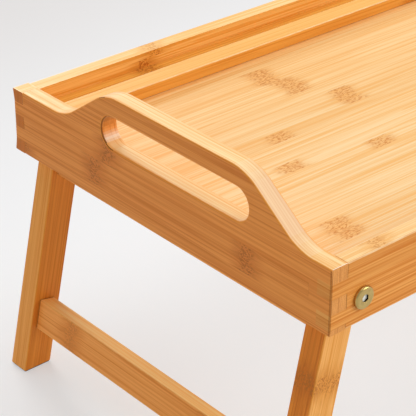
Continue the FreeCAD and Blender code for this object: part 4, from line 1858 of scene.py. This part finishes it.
@dataclass
class PivotSet:
    """Bolts, barrel nuts and washers of the four pivots."""

    head_radius: float = 0.008
    head_height: float = 0.0026
    rim_round: float = 0.0015
    foot_chamfer: float = 0.0002
    end_chamfer: float = 0.0004
    shank_radius: float = 0.003
    hex_width: float = 0.005
    hex_depth: float = 0.0015
    full_hex_depth: float = 0.0023
    hex_chamfer: float = 0.00025
    barrel_radius: float = 0.0045
    barrel_web: float = 0.0022
    thread_room: float = 0.00005
    washer_radius: float = 0.008
    washer_thickness: float = 0.0008
    washer_hole: float = 0.0046
    washer_round: float = 0.00015
    turns: int = 72

    def build(self) -> list[bpy.types.Object]:
        """Make the hardware of all four corners.

        Returns:
            The pieces.
        """
        corners = [(side, edge) for side in Side for edge in Edge]
        pins = [make(side, edge) for side, edge in corners for make in (self.bolt, self.nut)]
        return pins + [self.washers(f"{place}_washers", f"washers_at_{place}s") for place in ("rail", "nut")]

    def _headed_pin(self, tip: Vector, outward: Vector, pin_radius: float, length: float) -> Workpiece:
        """A turned pin with a flat round head, its rim rounded, and a hexagonal socket.

        Args:
            tip: centre of the head's outer face.
            outward: unit vector out of the head.
            pin_radius: of the pin behind the head.
            length: of head and pin together.

        Returns:
            The pin.
        """
        profile = [(0.0, 0.0), (self.head_radius, 0.0), (self.head_radius, -self.head_height),
                   (pin_radius, -self.head_height), (pin_radius, -length), (0.0, -length)]
        piece = Workpiece.turned(tip, outward, UP, profile, self.turns)

        def on_ring(point: Vector, radius: float, back: float) -> bool:
            """Whether a point lies on a circle of the profile."""
            along = (point - tip).dot(outward)
            return same(-along, back) and same((point - tip - outward * along).length, radius)

        for radius, back, rounding, strips in ((self.head_radius, 0.0, self.rim_round, 5),
                                               (self.head_radius, self.head_height, self.foot_chamfer, 1),
                                               (pin_radius, length, self.end_chamfer, 1)):
            circle = piece.edges_where(lambda a, b: on_ring(a, radius, back) and on_ring(b, radius, back))
            piece.ease(circle, rounding, strips)
        piece.cut(self._hex_cutter(tip, outward))
        return piece

    def _hex_cutter(self, tip: Vector, outward: Vector) -> Workpiece:
        """Cutter for a hexagonal socket with a chamfered mouth.

        Args:
            tip: centre of the head's outer face.
            outward: unit vector out of the head.

        Returns:
            The cutter.
        """
        radius = self.hex_width / math.sqrt(3.0)
        cutter = Workpiece.rod(tip - outward * self.hex_depth, outward, CLEAR + self.hex_depth, radius, 6)
        cutter.fuse(Workpiece.rod(tip - outward * self.hex_chamfer, outward, CLEAR + self.hex_chamfer,
                                  radius - self.hex_chamfer, end_radius=radius + CLEAR))
        return cutter

    def bolt(self, side: Side, edge: Edge) -> bpy.types.Object:
        """A pivot bolt whose flat head lies on the rail's outer face.

        Args:
            side: left or right.
            edge: front or back.

        Returns:
            The piece.
        """
        node = f"{edge.word}_{side.word}_pivot_bolt"
        low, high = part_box(node)
        outward = BACKWARD * edge.value
        tip = pivot_at(side, low.y if edge is Edge.FRONT else high.y)
        piece = self._headed_pin(tip, outward, self.shank_radius, high.y - low.y)
        piece.record_turning(tip, outward)
        return fit(piece, f"bolt_{edge.word}_{side.word}", BRASS, Body.TRAY, Slot.HARDWARE, node)

    def nut(self, side: Side, edge: Edge) -> bpy.types.Object:
        """The barrel nut on which a leg turns, its head inside the leg frame.

        Args:
            side: left or right.
            edge: front or back.

        Returns:
            The piece.
        """
        node = f"{edge.word}_{side.word}_barrel_nut"
        low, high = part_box(node)
        length = high.y - low.y
        outward = BACKWARD * -edge.value
        tip = pivot_at(side, high.y if edge is Edge.FRONT else low.y)
        piece = self._headed_pin(tip, outward, self.barrel_radius, length)
        bore_depth = length - self.full_hex_depth - self.barrel_web
        piece.cut(Workpiece.rod(tip - outward * (length + CLEAR), outward, bore_depth + CLEAR,
                                self.shank_radius + self.thread_room))
        piece.record_turning(tip, outward)
        return fit(piece, f"nut_{edge.word}_{side.word}", BRASS, Body.TRAY, Slot.HARDWARE, node)

    def washers(self, node: str, name: str) -> bpy.types.Object:
        """Four thin washers, one at each pivot, as one piece.

        Args:
            node: the plain solids they replace.
            name: what the piece is called.

        Returns:
            The piece.
        """
        low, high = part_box(node)
        whole = Workpiece()
        for side in Side:
            for face_y in (low.y, high.y - self.washer_thickness):
                whole.add(self._washer(pivot_at(side, face_y)))
        whole.record_turning(pivot_at(Side.LEFT), BACKWARD)
        return fit(whole, name, NYLON, Body.TRAY, Slot.WASHER, node)

    def _washer(self, start: Vector) -> Workpiece:
        """One washer.

        Args:
            start: centre of its face nearer the front.

        Returns:
            The washer.
        """
        profile = [(self.washer_hole, 0.0), (self.washer_radius, 0.0),
                   (self.washer_radius, self.washer_thickness), (self.washer_hole, self.washer_thickness)]
        piece = Workpiece.turned(start, BACKWARD, UP, profile, 48)
        piece.ease(piece.edges_where(lambda a, b: same(a.y, b.y), 1.0), self.washer_round, 1)
        return piece


# ---------------------------------------------------------------- studio


@dataclass
class Studio:
    """Pale floor, soft lamps and the camera."""

    floor_reach: float = 6.0
    camera_place: Place = (-0.8908, -0.7619, 0.7474)
    heading: float = math.radians(-40.93)
    pitch: float = math.radians(90.0 - 29.47)
    roll: float = math.radians(0.22)
    sensor: float = 36.0
    focal_pixels: float = 1680.4
    picture_width: float = 416.0
    world_strength: float = 0.50

    def build(self) -> None:
        """Set up floor, light and camera."""
        self.floor()
        self.world()
        self.lamp("overhead_softbox", (0.20, 0.25, 1.9), 0.15, 1.6, 12.5)
        self.lamp("back_window", (0.45, 1.85, 1.25), 0.10, 0.8, 19.0)
        self.lamp("front_fill", (1.3, -1.7, 1.2), 0.15, 1.4, 27.0)
        self.camera()
        bpy.context.scene.view_settings.view_transform = "Standard"

    def floor(self) -> None:
        """Lay the floor."""
        mesh = bmesh.new()
        bmesh.ops.create_grid(mesh, x_segments=1, y_segments=1, size=self.floor_reach)
        data = bpy.data.meshes.new("studio_floor")
        mesh.to_mesh(data)
        mesh.free()
        data.materials.append(dressed(FLOOR))
        linked("studio_floor", data)

    def world(self) -> None:
        """Even white light from all round."""
        world = bpy.data.worlds.new("studio")
        world.use_nodes = True
        background = world.node_tree.nodes["Background"]
        background.inputs["Color"].default_value = (1.0, 1.0, 1.0, 1.0)
        background.inputs["Strength"].default_value = self.world_strength
        bpy.context.scene.world = world

    def lamp(self, name: str, place: Place, aim: float, size: float, power: float) -> None:
        """Hang a square soft lamp that points at the tray's middle.

        Args:
            name: what it is called.
            place: where it hangs.
            aim: height that it points at.
            size: of its side.
            power: in watts.
        """
        data = bpy.data.lights.new(name, "AREA")
        data.shape = "SQUARE"
        data.size = size
        data.energy = power
        thing = linked(name, data)
        thing.location = place
        thing.rotation_euler = (UP * aim - Vector(place)).to_track_quat("-Z", "Y").to_euler()

    def camera(self) -> None:
        """Set the camera where the picture was taken from."""
        data = bpy.data.cameras.new("camera")
        data.sensor_width = self.sensor
        data.lens = self.sensor * self.focal_pixels / self.picture_width
        thing = linked("camera", data)
        turn = Matrix.Rotation(self.heading, 4, "Z") @ Matrix.Rotation(self.pitch, 4, "X")
        thing.matrix_world = Matrix.Translation(self.camera_place) @ turn @ Matrix.Rotation(self.roll, 4, "Z")
        bpy.context.scene.camera = thing


# ---------------------------------------------------------------- the whole tray


def main() -> None:
    """Build the tray, its pieces in order, and the studio around it."""
    logging.basicConfig(level=logging.INFO, format="%(name)s: %(message)s")
    count = 0
    for assembly in (TrayFrame(), TrayBed(), LegFrame(Side.LEFT), LegFrame(Side.RIGHT), PivotSet()):
        pieces = assembly.build()
        count += len(pieces)
        LOG.info("%s: %d pieces", type(assembly).__name__, len(pieces))
    Studio().build()
    LOG.info("%d pieces in all", count)


if __name__ == "__main__":
    main()
